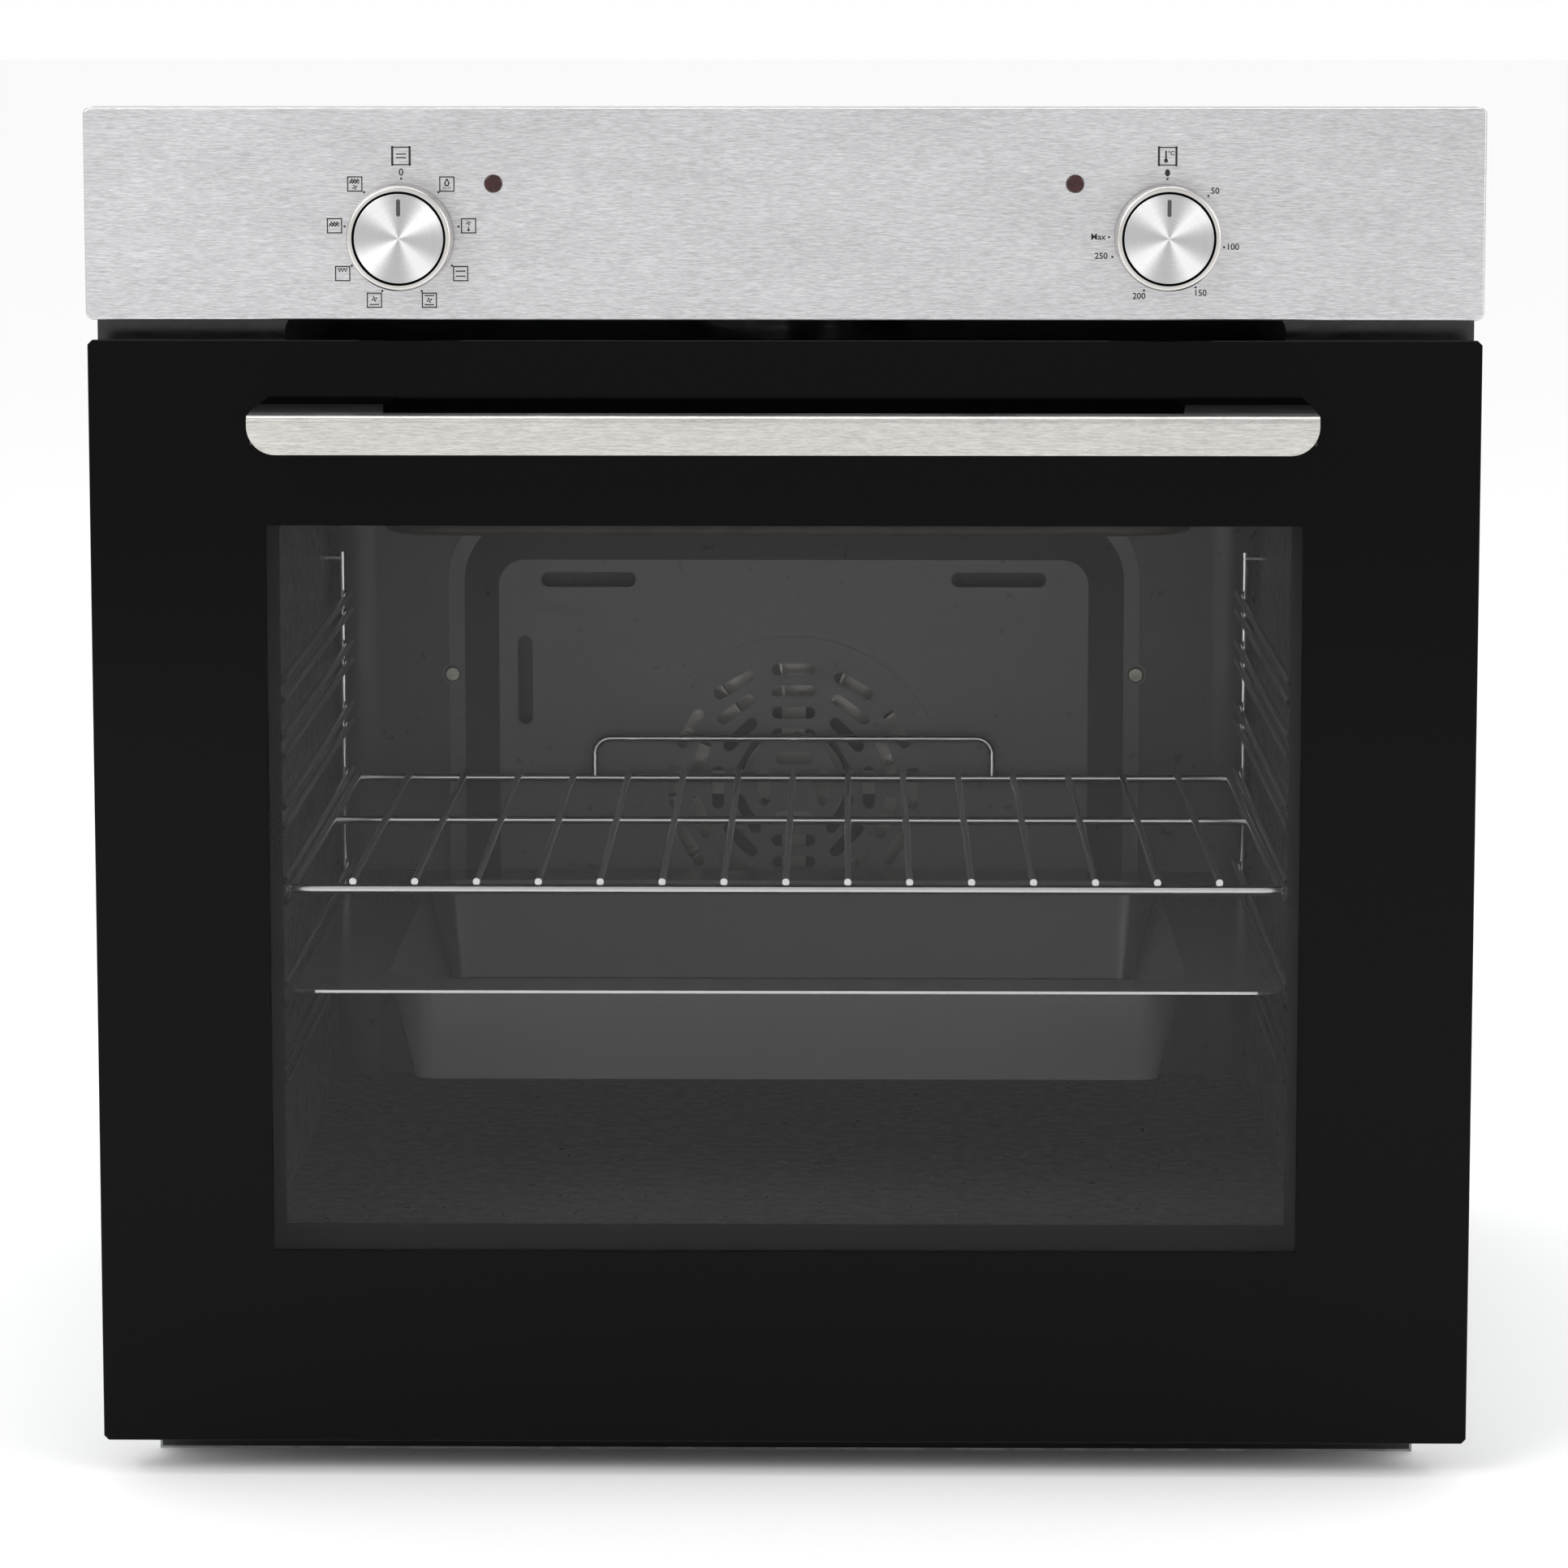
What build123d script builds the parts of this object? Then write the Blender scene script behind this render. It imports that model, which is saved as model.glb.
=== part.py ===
from build123d import *
import math
import os

# A built-in household electric oven with one cavity, a drop-down glass door and two knobs.
# All sizes are millimetres. X runs to the right as the user sees the oven, Y runs from the
# door to the back, Z runs up. The origin is on the floor, at the middle of the outer box.
# Depths in this file are counted backwards from the front face of the closed door.

# ---- Overall sizes ----
front_width = 595.0
overall_height = 595.0
body_depth = 573.0
handle_reach = 53.0

# ---- Casing ----
sheet = 1.0
side_lip = 19.5
top_drop = 18.0
screw_head_height = 2.0
screw_head_radius = 4.0
screw_radius = 1.7
screw_clearance = 0.3
skirt_setback = 10.5
rear_flange = 20.0

# ---- Front frame round the cavity ----
frame_thickness = 1.5
frame_foot = 48.0
frame_above_outlet = 12.0
outlet_height = 19.0
outlet_side_margin = 62.0
cabinet_screw_radius = 2.7
cabinet_screw_inset = 9.5
cabinet_screw_low = 120.0
cabinet_screw_rise = 320.0

# ---- Cavity ----
side_packing = 46.0
cavity_floor = 90.0
ceiling_below_door_top = 81.4
rear_space = 131.0
cavity_corner = 20.0
floor_step = 1.2
insulation_wall = 25.0
element_pocket = 9.0

# ---- Control fascia ----
fascia_height = 90.0
fascia_gap = 8.6
fascia_fold = 21.0
fascia_corner = 3.0
fascia_edge = 1.0
fascia_lip = 27.0
bracket_thickness = 1.2
knob_from_side = 135.0
knob_above_fascia_foot = 35.4
lamp_from_side = 174.1
lamp_above_fascia_foot = 57.9
pilot_radius = 3.8

# ---- Knobs ----
knob_radius = 22.2
knob_height = 16.0
knob_clearance = 1.5
knob_lip = 1.3
cap_radius = 19.0
cap_gap = 0.5
cap_recess = 2.4
groove_length = 7.3
groove_width = 1.7
groove_outer = 16.6
shaft_radius = 3.0
shaft_fit = 0.05

# ---- Door ----
door_foot = 15.4
glass = 4.0
glass_side_gap = 0.5
glass_corner = 2.0
door_core = 22.0
column_inner_from_side = 71.5
column_outer_from_side = 11.5
inner_glass_from_side = 25.5
inner_glass_foot = 62.0
inner_glass_below_top = 26.4
seal_gap = 0.6
seal_thickness = 3.4
seal_width = 8.0
seal_overlap = 3.0

# ---- Door hinges ----
hinge_x_from_side = 57.5
pivot_depth = 19.0
pivot_height = 33.0
pin_radius = 3.0
pin_fit = 0.05
arm_thickness = 4.0
arm_half_height = 5.0
eye_radius = 7.0
arm_reach = 100.0
cassette_half_width = 6.0
cassette_sheet = 1.2
cassette_top = 180.0

# ---- Handle ----
handle_half_length = 224.0
handle_height = 16.5
handle_thickness = 14.0
handle_below_door_top = 27.9
post_inner = 168.0
post_slant = 3.0
handle_end_curve = 12.0
handle_screw_x = 200.0

# ---- Shelf, tray and side runners ----
wire_radius = 2.25
bar_radius = 1.6
runner_wire = 1.75
runner_play = 0.5
runner_reach_in = 0.75
runner_from_wall = 10.0
runner_levels = (0.237, 0.342, 0.486, 0.588, 0.683, 0.76)
shelf_level = 2
tray_level = 1
shelf_front = 70.0
shelf_rear_gap = 35.0
shelf_bars = 17
hoop_half = 99.7
hoop_rise = 20.0
tray_sheet = 1.2
tray_depth = 48.0
tray_rim = 40.0
tray_taper = 14.0
tray_corner = 22.0

# ---- Fan, elements, lamp ----
baffle_from_wall = 57.0
baffle_foot_gap = 5.0
baffle_below_ceiling = 31.0
baffle_rise = 24.0
baffle_flange = 6.0
baffle_inset = 25.0
baffle_tab_inset = 1.8
baffle_tab_radius = 5.5
fan_radius = 70.0
fan_blades = 12
fan_lift = 2.0
fan_shaft_radius = 4.0
fan_motor_plate_radius = 44.0
element_radius = 3.3
element_drop = 12.0
lens_radius = 21.0
lens_from_side = 52.0
lens_below_ceiling = 27.0
probe_from_side = 72.0
probe_below_ceiling = 19.0

# ---- Cooling blower ----
duct_height = 27.0
duct_rear = 340.0
blower_depth = 420.0
blower_radius = 62.0
blower_blades = 28
blower_mouth = 55.0

# ---- Mains connection ----
terminal_from_side = 100.0
terminal_below_top = 52.0
terminal_half_x = 31.0
terminal_half_z = 16.0
cable_hole_radius = 10.0
cable_hole_offset = 62.0

# ---- Worked out from the sizes above ----
front_y = (handle_reach - body_depth) / 2
half_front = front_width / 2
carcass_half = half_front - side_lip
carcass_top = overall_height - top_drop
inner_half = carcass_half - sheet
rear_face = body_depth - screw_head_height
rear_inside = rear_face - sheet
core_back = glass + door_core
door_back = core_back + glass
frame_depth = door_back + seal_gap + seal_thickness
frame_back = frame_depth + frame_thickness
skirt_depth = frame_depth + skirt_setback
skirt_back = skirt_depth + frame_thickness
fascia_foot = overall_height - fascia_height
door_top = fascia_foot - fascia_gap
frame_top = fascia_foot + frame_above_outlet
bracket_back = fascia_fold + bracket_thickness
cavity_half = carcass_half - side_packing
cavity_ceiling = door_top - ceiling_below_door_top
cavity_height = cavity_ceiling - cavity_floor
cavity_back = body_depth - rear_space
cavity_rear_face = cavity_back + sheet
outlet_mid = fascia_foot - 7.5
duct_foot = outlet_mid - duct_height / 2
insulation_back = cavity_rear_face + insulation_wall
door_half = half_front - glass_side_gap
column_inner = half_front - column_inner_from_side
column_outer = half_front - column_outer_from_side
inner_glass_half = half_front - inner_glass_from_side
hinge_x = half_front - hinge_x_from_side
knob_x = half_front - knob_from_side
knob_z = fascia_foot + knob_above_fascia_foot
pilot_x = half_front - lamp_from_side
pilot_z = fascia_foot + lamp_above_fascia_foot
handle_top = door_top - handle_below_door_top
handle_foot = handle_top - handle_height
handle_mid = handle_foot + handle_height / 2
handle_back = handle_thickness - handle_reach
runner_x = cavity_half - runner_from_wall
runner_pair = 2 * (wire_radius + runner_wire + runner_play)
shelf_half = runner_x - runner_wire - runner_reach_in
shelf_z = cavity_floor + runner_levels[shelf_level] * cavity_height
shelf_rear = cavity_back - shelf_rear_gap
tray_z = cavity_floor + runner_levels[tray_level] * cavity_height
tray_half = runner_x - 0.5
baffle_half = cavity_half - baffle_from_wall
baffle_foot = cavity_floor + baffle_foot_gap
baffle_top = cavity_ceiling - baffle_below_ceiling
baffle_front = cavity_back - baffle_rise - sheet
fan_z = (baffle_foot + baffle_top) / 2 + fan_lift
grill_z = cavity_ceiling - element_drop
bottom_element_z = cavity_floor - sheet - element_radius
lens_x = cavity_half - lens_from_side
lens_z = cavity_ceiling - lens_below_ceiling
probe_x = probe_from_side - cavity_half
probe_z = cavity_ceiling - probe_below_ceiling
terminal_x = terminal_from_side - carcass_half
terminal_z = carcass_top - terminal_below_top


# ---- Helpers ----

def block(x, depth, z):
    """A box between two values each of x, depth and height."""
    box = Box(x[1] - x[0], depth[1] - depth[0], z[1] - z[0])
    return Pos((x[0] + x[1]) / 2, front_y + (depth[0] + depth[1]) / 2, (z[0] + z[1]) / 2) * box


def point(x, depth, z):
    """A point from x, depth and height."""
    return Vector(x, front_y + depth, z)


def front_view(depth):
    """The plane at a depth, seen from the front: its x is X and its y is Z."""
    return Plane(origin=(0, front_y + depth, 0), x_dir=(1, 0, 0), z_dir=(0, -1, 0))


def plate(outline, depth):
    """An outline drawn in front view, made solid between two depths."""
    return extrude(front_view(depth[1]) * outline, amount=depth[1] - depth[0])


def disc(radius, x, z, depth):
    """A round bar along Y between two depths."""
    return plate(Pos(x, z) * Circle(radius), depth)


def upright(radius, x, depth, z):
    """A round bar along Z between two heights."""
    return Pos(x, front_y + depth, z[0]) * extrude(Circle(radius), amount=z[1] - z[0])


def bar(start, end, radius):
    """A straight round wire between two points."""
    run = end - start
    return extrude(Plane(origin=start, z_dir=run) * Circle(radius), amount=run.length)


def bent_wire(points, radius, bend):
    """A round wire that follows straight runs joined by bends."""
    path = FilletPolyline(*points, radius=bend)
    return sweep(Plane(origin=path @ 0, z_dir=path % 0) * Circle(radius), path)


def frame_outline(half, foot, top, corner):
    """A rounded rectangle in front view, centred on the oven's middle plane."""
    return Pos(0, (foot + top) / 2) * RectangleRounded(2 * half, top - foot, corner)


def both_sides(make):
    """The right-hand solid that make gives, and its mirror image on the left."""
    right = make()
    return right, mirror(right, about=Plane.YZ)


# ---- Casing ----

def make_chassis_base():
    base = block((-inner_half, inner_half), (skirt_depth, rear_inside), (0, sheet))
    for side in (-1, 1):
        edge = side * inner_half
        turned = side * (inner_half - sheet)
        base += block(sorted((edge, turned)), (60, rear_inside - 10), (0, 15))
    for x in (-150, 0, 150):
        rib = block((x - 12, x + 12), (90, rear_inside - 60), (sheet, sheet + 4))
        base += rib - block((x - 11, x + 11), (91, rear_inside - 61), (0, sheet + 3))
    return base


def make_side_panel():
    wall = (inner_half, carcass_half)
    panel = block(wall, (frame_back, rear_inside), (0, carcass_top - sheet))
    panel += block(wall, (bracket_back, frame_back), (frame_top + 2, carcass_top - sheet))
    panel -= block(wall, (frame_back, skirt_depth), (0, frame_foot + frame_thickness))
    panel += block(
        (inner_half - rear_flange, inner_half),
        (rear_inside - sheet, rear_inside),
        (sheet, carcass_top - sheet),
    )
    for row in range(2):
        for column in range(7):
            depth = rear_inside - 60 - column * 14
            foot = carcass_top - 60 - row * 60
            panel -= block(wall, (depth, depth + 6), (foot, foot + 40))
    for z in casing_screw_heights():
        x = inner_half - rear_flange / 2
        panel -= disc(screw_radius + screw_clearance, x, z, (rear_inside - 2, rear_inside))
    return panel


def casing_screw_heights():
    """Four screws up each side of the rear cover."""
    low = 30.0
    step = (carcass_top - 2 * low) / 3
    return [low + step * i for i in range(4)]


def make_rear_cover():
    cover = block((-carcass_half, carcass_half), (rear_inside, rear_face), (0, carcass_top))
    for x in range(-9, 10):
        for foot in (60, 110):
            slot = Pos(x * 22, foot + 18) * Rot(0, 0, 90) * SlotOverall(36, 7)
            cover -= plate(slot, (rear_inside, rear_face))
    for x in range(-5, 6):
        slot = Pos(x * 22 + 60, carcass_top - 50) * Rot(0, 0, 90) * SlotOverall(36, 7)
        cover -= plate(slot, (rear_inside, rear_face))
    cover -= terminal_window(0.5)
    cover -= disc(cable_hole_radius, terminal_x + cable_hole_offset, terminal_z, (rear_inside, rear_face))
    for side in (-1, 1):
        for z in casing_screw_heights():
            x = side * (inner_half - rear_flange / 2)
            cover -= disc(screw_radius + screw_clearance, x, z, (rear_inside, rear_face))
    return cover


def make_top_cover():
    level = (carcass_top - sheet, carcass_top)
    cover = block((-carcass_half, carcass_half), (bracket_back, rear_inside), level)
    for x in range(-8, 9):
        depth = rear_inside - 110
        cover -= block((x * 18 - 3, x * 18 + 3), (depth, depth + 50), level)
    return cover


def make_front_frame():
    face = Pos(0, (frame_foot + frame_top) / 2) * Rectangle(2 * door_half, frame_top - frame_foot)
    face -= frame_outline(cavity_half, cavity_floor, cavity_ceiling, 15)
    face -= Pos(0, outlet_mid) * SlotOverall(2 * (carcass_half - outlet_side_margin), outlet_height)
    for side in (-1, 1):
        for z in (cabinet_screw_low, cabinet_screw_low + cabinet_screw_rise):
            face -= Pos(side * (half_front - cabinet_screw_inset), z) * Circle(cabinet_screw_radius)
    frame = plate(face, (frame_depth, frame_back))
    fold = (frame_foot, frame_foot + frame_thickness)
    frame += block((-inner_half, inner_half), (frame_depth, skirt_back), fold)
    frame += block((-inner_half, inner_half), (skirt_depth, skirt_back), (sheet, fold[1]))
    for side in (-1, 1):
        gap = arm_thickness / 2 + 2
        slot = (side * hinge_x - gap, side * hinge_x + gap)
        heights = (pivot_height - arm_half_height - 3, pivot_height + arm_half_height + 3)
        frame -= block(slot, (skirt_depth, skirt_back), heights)
    return frame


# ---- Cavity ----

def rear_corners(solid, radius):
    """Rounds the two upright edges at the back of a box."""
    return fillet(solid.edges().filter_by(Axis.Z).group_by(Axis.Y)[-1], radius)


def floor_pressing():
    """The raised part of the floor, whose rear edge is a shallow wave."""
    front = 60.0
    edge = cavity_back - 128.0
    half = cavity_half - 42.0
    wave = 14.0
    waves = 4
    steps = 32
    points = [(-half, front), (half, front)]
    for i in range(steps + 1):
        across = half - 2 * half * i / steps
        points.append((across, edge + wave * (1 - math.cos(2 * math.pi * waves * i / steps)) / 2))
    rear = Spline(*[(x, front_y + y) for x, y in points[2:]])
    sides = Polyline(
        (points[-1][0], front_y + points[-1][1]),
        (-half, front_y + front),
        (half, front_y + front),
        (half, front_y + edge),
    )
    return Pos(0, 0, cavity_floor) * extrude(make_face([rear, sides]), amount=floor_step)


def rear_wall_holes(clearance):
    """Round bars where pieces pass through the back wall of the cavity."""
    depth = (cavity_back - 1, insulation_back + 1)
    holes = disc(lens_radius - 5 + clearance, lens_x, lens_z, depth)
    for side in (-1, 1):
        holes += disc(element_radius + 0.7 + clearance, side * 30, grill_z, depth)
    holes += disc(2 + clearance, probe_x - 40, probe_z, depth)
    return holes


def make_cavity_shell():
    outer_box = block(
        (-cavity_half - sheet, cavity_half + sheet),
        (frame_back, cavity_rear_face),
        (cavity_floor - sheet, cavity_ceiling + sheet),
    )
    inner_box = block((-cavity_half, cavity_half), (frame_back, cavity_back), (cavity_floor, cavity_ceiling))
    shell = rear_corners(outer_box, cavity_corner + sheet) - rear_corners(inner_box, cavity_corner)
    shell += floor_pressing()
    shell -= rear_wall_holes(0)
    shell -= disc(fan_shaft_radius + 2, 0, fan_z, (cavity_back - 1, cavity_rear_face))
    for x, z in baffle_screw_places():
        shell -= disc(screw_radius + screw_clearance, x, z, (cavity_back - 1, cavity_rear_face))
    return shell


def make_insulation():
    outer_half = cavity_half + sheet + insulation_wall
    foot = cavity_floor - sheet - element_pocket
    wrap = block(
        (-outer_half, outer_half),
        (frame_back + 0.5, insulation_back),
        (foot - insulation_wall, cavity_ceiling + sheet + insulation_wall),
    )
    wrap -= block(
        (-cavity_half - sheet, cavity_half + sheet),
        (frame_back, cavity_rear_face),
        (foot, cavity_ceiling + sheet),
    )
    wrap -= rear_wall_holes(1.5)
    wrap -= disc(fan_motor_plate_radius + 2, 0, fan_z, (cavity_rear_face, insulation_back))
    for side in (-1, 1):
        wrap -= disc(element_radius + 1, side * 30, bottom_element_z, (cavity_rear_face, insulation_back))
    for x, z in baffle_screw_places():
        wrap -= disc(screw_radius + 1, x, z, (cavity_rear_face, insulation_back))
    return wrap


def make_door_seal():
    ring = frame_outline(cavity_half + seal_overlap + seal_width, cavity_floor - 6 - seal_width / 2,
                         cavity_ceiling + 6 + seal_width / 2, 18)
    ring -= frame_outline(cavity_half + seal_overlap, cavity_floor - 2, cavity_ceiling + 2, 13)
    return plate(ring, (door_back + seal_gap, frame_depth))


# ---- Controls ----

def make_control_fascia():
    panel = block((-half_front, half_front), (0, fascia_fold), (fascia_foot, overall_height))
    panel = fillet(panel.edges().filter_by(Axis.Y), fascia_corner)
    panel = fillet(panel.faces().sort_by(Axis.Y)[0].edges(), fascia_edge)
    hollow = block(
        (sheet - half_front, half_front - sheet),
        (sheet, fascia_fold - sheet),
        (fascia_foot + sheet, overall_height - sheet),
    )
    panel -= fillet(hollow.edges().filter_by(Axis.Y), fascia_corner - sheet)
    panel -= block(
        (fascia_lip - half_front, half_front - fascia_lip),
        (fascia_fold - sheet, fascia_fold),
        (fascia_foot + 7, overall_height - 7),
    )
    return panel - control_holes((0, sheet), shaft_radius + 2)


def control_holes(depth, shaft_hole):
    """The two shaft holes and the two pilot lamp holes."""
    holes = disc(shaft_hole, knob_x, knob_z, depth) + disc(shaft_hole, -knob_x, knob_z, depth)
    for side in (-1, 1):
        holes += disc(pilot_radius + 0.1, side * pilot_x, pilot_z, depth)
    return holes


def make_control_bracket():
    heights = (fascia_foot + 4, overall_height - 6)
    bracket = block((-inner_half, inner_half), (fascia_fold, bracket_back), heights)
    for side in (-1, 1):
        outer = side * inner_half
        inner = side * (inner_half - bracket_thickness)
        bracket += block(sorted((inner, outer)), (fascia_fold, 80), (fascia_foot + 20, carcass_top - 2))
    return bracket - control_holes((fascia_fold, bracket_back), shaft_radius + 3)


def make_pilot_lamp(side):
    lens = disc(pilot_radius, side * pilot_x, pilot_z, (-1, 34))
    lens = fillet(lens.faces().sort_by(Axis.Y)[0].edges(), 0.8)
    return lens + disc(6, side * pilot_x, pilot_z, (bracket_back, bracket_back + 4))


def make_switch_body(x, half_width, half_height, length):
    """A rotary switch or thermostat behind the bracket, bored for its shaft."""
    front = bracket_back
    heights = (knob_z - half_height, knob_z + half_height)
    body = block((x - half_width, x + half_width), (front, front + length), heights)
    body = fillet(body.edges().filter_by(Axis.Y), 3)
    for row in range(3):
        for side in (-1, 1):
            tab_x = x + side * (half_width - 5)
            tab_z = knob_z + (row - 1) * 12
            depth = (front + length, front + length + 9)
            body += block((tab_x - 0.4, tab_x + 0.4), depth, (tab_z - 3, tab_z + 3))
    return body - disc(shaft_radius + shaft_fit, x, knob_z, (front, front + length - 6))


def make_shaft(x):
    front = 6 - knob_height
    shaft = disc(shaft_radius, x, knob_z, (front, bracket_back + 16))
    cut = (x + shaft_radius - 1, x + shaft_radius + 1)
    return shaft - block(cut, (front, -knob_clearance), (knob_z - 5, knob_z + 5))


def make_knob(x):
    front = -knob_clearance - knob_height
    knob = disc(knob_radius, x, knob_z, (front, -knob_clearance))
    knob = fillet(knob.faces().sort_by(Axis.Y)[0].edges(), knob_lip)
    knob -= disc(cap_radius + cap_gap, x, knob_z, (front, front + cap_recess))
    knob -= disc(cap_radius - 1, x, knob_z, (front + cap_recess + 1.6, -knob_clearance))
    knob += disc(shaft_radius + 3, x, knob_z, (front + cap_recess, -knob_clearance))
    return knob - make_shaft(x)


def make_cap(x):
    front = -knob_clearance - knob_height + 0.3
    cap = disc(cap_radius, x, knob_z, (front, -knob_clearance - knob_height + cap_recess))
    cap = fillet(cap.faces().sort_by(Axis.Y)[0].edges(), 0.4)
    groove = Rot(0, 0, 90) * SlotOverall(groove_length, groove_width)
    groove = Pos(x, knob_z + groove_outer - groove_length / 2) * groove
    return cap - plate(groove, (front, front + 0.5))


# ---- Cooling air ----

def make_air_duct():
    top = duct_foot + duct_height
    half = carcass_half - outlet_side_margin + 2
    duct = block((-inner_half, inner_half), (frame_back, rear_inside - sheet), (duct_foot - sheet, duct_foot))
    tunnel = block((-half, half), (frame_back, duct_rear), (duct_foot, top))
    tunnel -= block((sheet - half, half - sheet), (frame_back, duct_rear - sheet), (duct_foot, top - sheet))
    tunnel -= block((-blower_mouth, blower_mouth), (duct_rear - sheet, duct_rear), (duct_foot + 1, top - 2))
    return duct + tunnel


def make_blower_housing():
    top = duct_foot + duct_height
    radius = blower_radius + 12
    shell = upright(radius, 0, blower_depth, (duct_foot, top))
    shell += block((-blower_mouth - 1, blower_mouth + 1), (duct_rear, blower_depth), (duct_foot, top))
    shell -= upright(radius - sheet, 0, blower_depth, (duct_foot + sheet, top - sheet))
    shell -= block((-blower_mouth, blower_mouth), (duct_rear, blower_depth), (duct_foot + sheet, top - 2))
    return shell - upright(blower_radius - 12, 0, blower_depth, (top - sheet, top))


def make_blower_wheel():
    foot = duct_foot + 4
    top = duct_foot + duct_height - 5
    wheel = upright(blower_radius, 0, blower_depth, (foot, foot + 1.5))
    rim = upright(blower_radius, 0, blower_depth, (top - 1.5, top))
    wheel += rim - upright(blower_radius - 9, 0, blower_depth, (top - 1.5, top))
    blade = Box(9, 0.8, top - foot, align=(Align.CENTER, Align.CENTER, Align.MIN))
    blade = Pos(blower_radius - 4.5, 0, foot) * Rot(0, 0, 35) * blade
    for i in range(blower_blades):
        wheel += Pos(0, front_y + blower_depth) * Rot(0, 0, 360 * i / blower_blades) * blade
    wheel += upright(7, 0, blower_depth, (foot, foot + 12))
    wheel += upright(3, 0, blower_depth, (foot, duct_foot + duct_height + 36))
    return wheel


def make_blower_motor():
    top = duct_foot + duct_height
    motor = block((-30, 30), (blower_depth - 26, blower_depth + 26), (top + 10, top + 28))
    motor += block((34, 50), (blower_depth - 16, blower_depth + 16), (top + 6, top + 32))
    motor += block((-30, 50), (blower_depth - 8, blower_depth + 8), (top + 12, top + 26))
    for side_x, side_y in ((-1, 0), (0.5, 0.866), (0.5, -0.866)):
        reach = blower_radius - 6
        motor += upright(2.5, side_x * 24, blower_depth + side_y * 24, (top + 4, top + 12))
        start = point(side_x * 20, blower_depth + side_y * 20, top + 4)
        end = point(side_x * reach, blower_depth + side_y * reach, top + 4)
        motor += bar(start, end, 2)
        motor += upright(3, side_x * reach, blower_depth + side_y * reach, (top, top + 5))
    motor += upright(9, 0, blower_depth, (top + 6, top + 34))
    return motor - upright(3 + shaft_fit, 0, blower_depth, (top, top + 40))


# ---- Hot-air fan ----

def baffle_outline(grow):
    """The baffle in front view, with rounded top corners; grow moves the edge outwards."""
    height = baffle_top - baffle_foot + 2 * grow
    outline = Pos(0, (baffle_foot + baffle_top) / 2) * Rectangle(2 * (baffle_half + grow), height)
    corners = outline.vertices().group_by(Axis.Y)
    outline = fillet(corners[-1], 40 + grow)
    return fillet(outline.vertices().group_by(Axis.Y)[0], 12 + grow)


def baffle_screw_places():
    """Two screws near the top of the baffle's flange and two near its foot."""
    x = baffle_half - baffle_tab_inset
    return [(side * x, z) for side in (-1, 1) for z in (baffle_foot + 30, baffle_top - 88)]


def make_fan_baffle():
    flange = plate(baffle_outline(0), (cavity_back - sheet, cavity_back))
    for x, z in baffle_screw_places():
        flange += disc(baffle_tab_radius, x, z, (cavity_back - sheet, cavity_back))
    slope = math.degrees(math.atan((baffle_inset - baffle_flange) / baffle_rise))
    dish = front_view(cavity_back - sheet) * baffle_outline(-baffle_flange - 2)
    dish = extrude(dish, amount=baffle_rise, taper=slope)
    hollow = front_view(cavity_back) * baffle_outline(-baffle_flange - 2 - sheet)
    hollow = extrude(hollow, amount=baffle_rise, taper=slope)
    baffle = flange + dish - hollow
    through = (baffle_front - 2, baffle_front + 4)
    for ring, count in ((60, 12), (49, 10), (38, 8), (27, 6), (15, 4)):
        length = min(22, 2 * math.pi * ring / count - 5)
        slot = plate(Pos(0, fan_z + ring) * SlotOverall(length, 6), through)
        for i in range(count):
            baffle -= Pos(0, 0, fan_z) * Rot(0, 360 * i / count, 0) * Pos(0, 0, -fan_z) * slot
    for side in (-1, 1):
        high = Pos(side * (baffle_half - 72), baffle_top - 37) * SlotOverall(47.5, 7.5)
        baffle -= plate(high, through)
    upright_slot = Pos(40 - baffle_half, baffle_top - 88) * Rot(0, 0, 90) * SlotOverall(45, 7.5)
    baffle -= plate(upright_slot, through)
    bead = Pos(0, fan_z) * (Circle(77) - Circle(75))
    baffle += plate(bead, (baffle_front - 0.8, baffle_front + sheet / 2))
    for x, z in baffle_screw_places():
        baffle -= disc(screw_radius + screw_clearance, x, z, (cavity_back - 2, cavity_back))
    return baffle


def make_circulation_fan():
    back = cavity_back - 5
    wheel = disc(fan_radius, 0, fan_z, (back - 1.2, back))
    wheel -= disc(fan_radius - 26, 0, fan_z, (back - 1.2, back))
    wheel += disc(fan_radius - 44, 0, fan_z, (back - 1.2, back))
    for i in range(4):
        spoke = block((-6, 6), (back - 1.2, back), (fan_z + 10, fan_z + fan_radius - 20))
        wheel += Pos(0, 0, fan_z) * Rot(0, 90 * i, 0) * Pos(0, 0, -fan_z) * spoke
    blade = Pos(0, 0, fan_z) * Rot(0, 24, 0) * Pos(0, 0, -fan_z)
    foot = fan_z + fan_radius - 24
    blade = blade * block((-0.6, 0.6), (back - 13, back - 1), (foot, fan_z + fan_radius - 1))
    for i in range(fan_blades):
        wheel += Pos(0, 0, fan_z) * Rot(0, 360 * i / fan_blades, 0) * Pos(0, 0, -fan_z) * blade
    wheel += disc(9, 0, fan_z, (back - 8, back))
    return wheel - disc(fan_shaft_radius, 0, fan_z, (back - 8, back))


def make_fan_shaft():
    back = cavity_back - 5
    shaft = disc(fan_shaft_radius, 0, fan_z, (back - 8, cavity_rear_face + 66))
    nut = front_view(back - 8) * (Pos(0, fan_z) * RegularPolygon(7, 6))
    return shaft + extrude(nut, amount=4)


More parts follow.
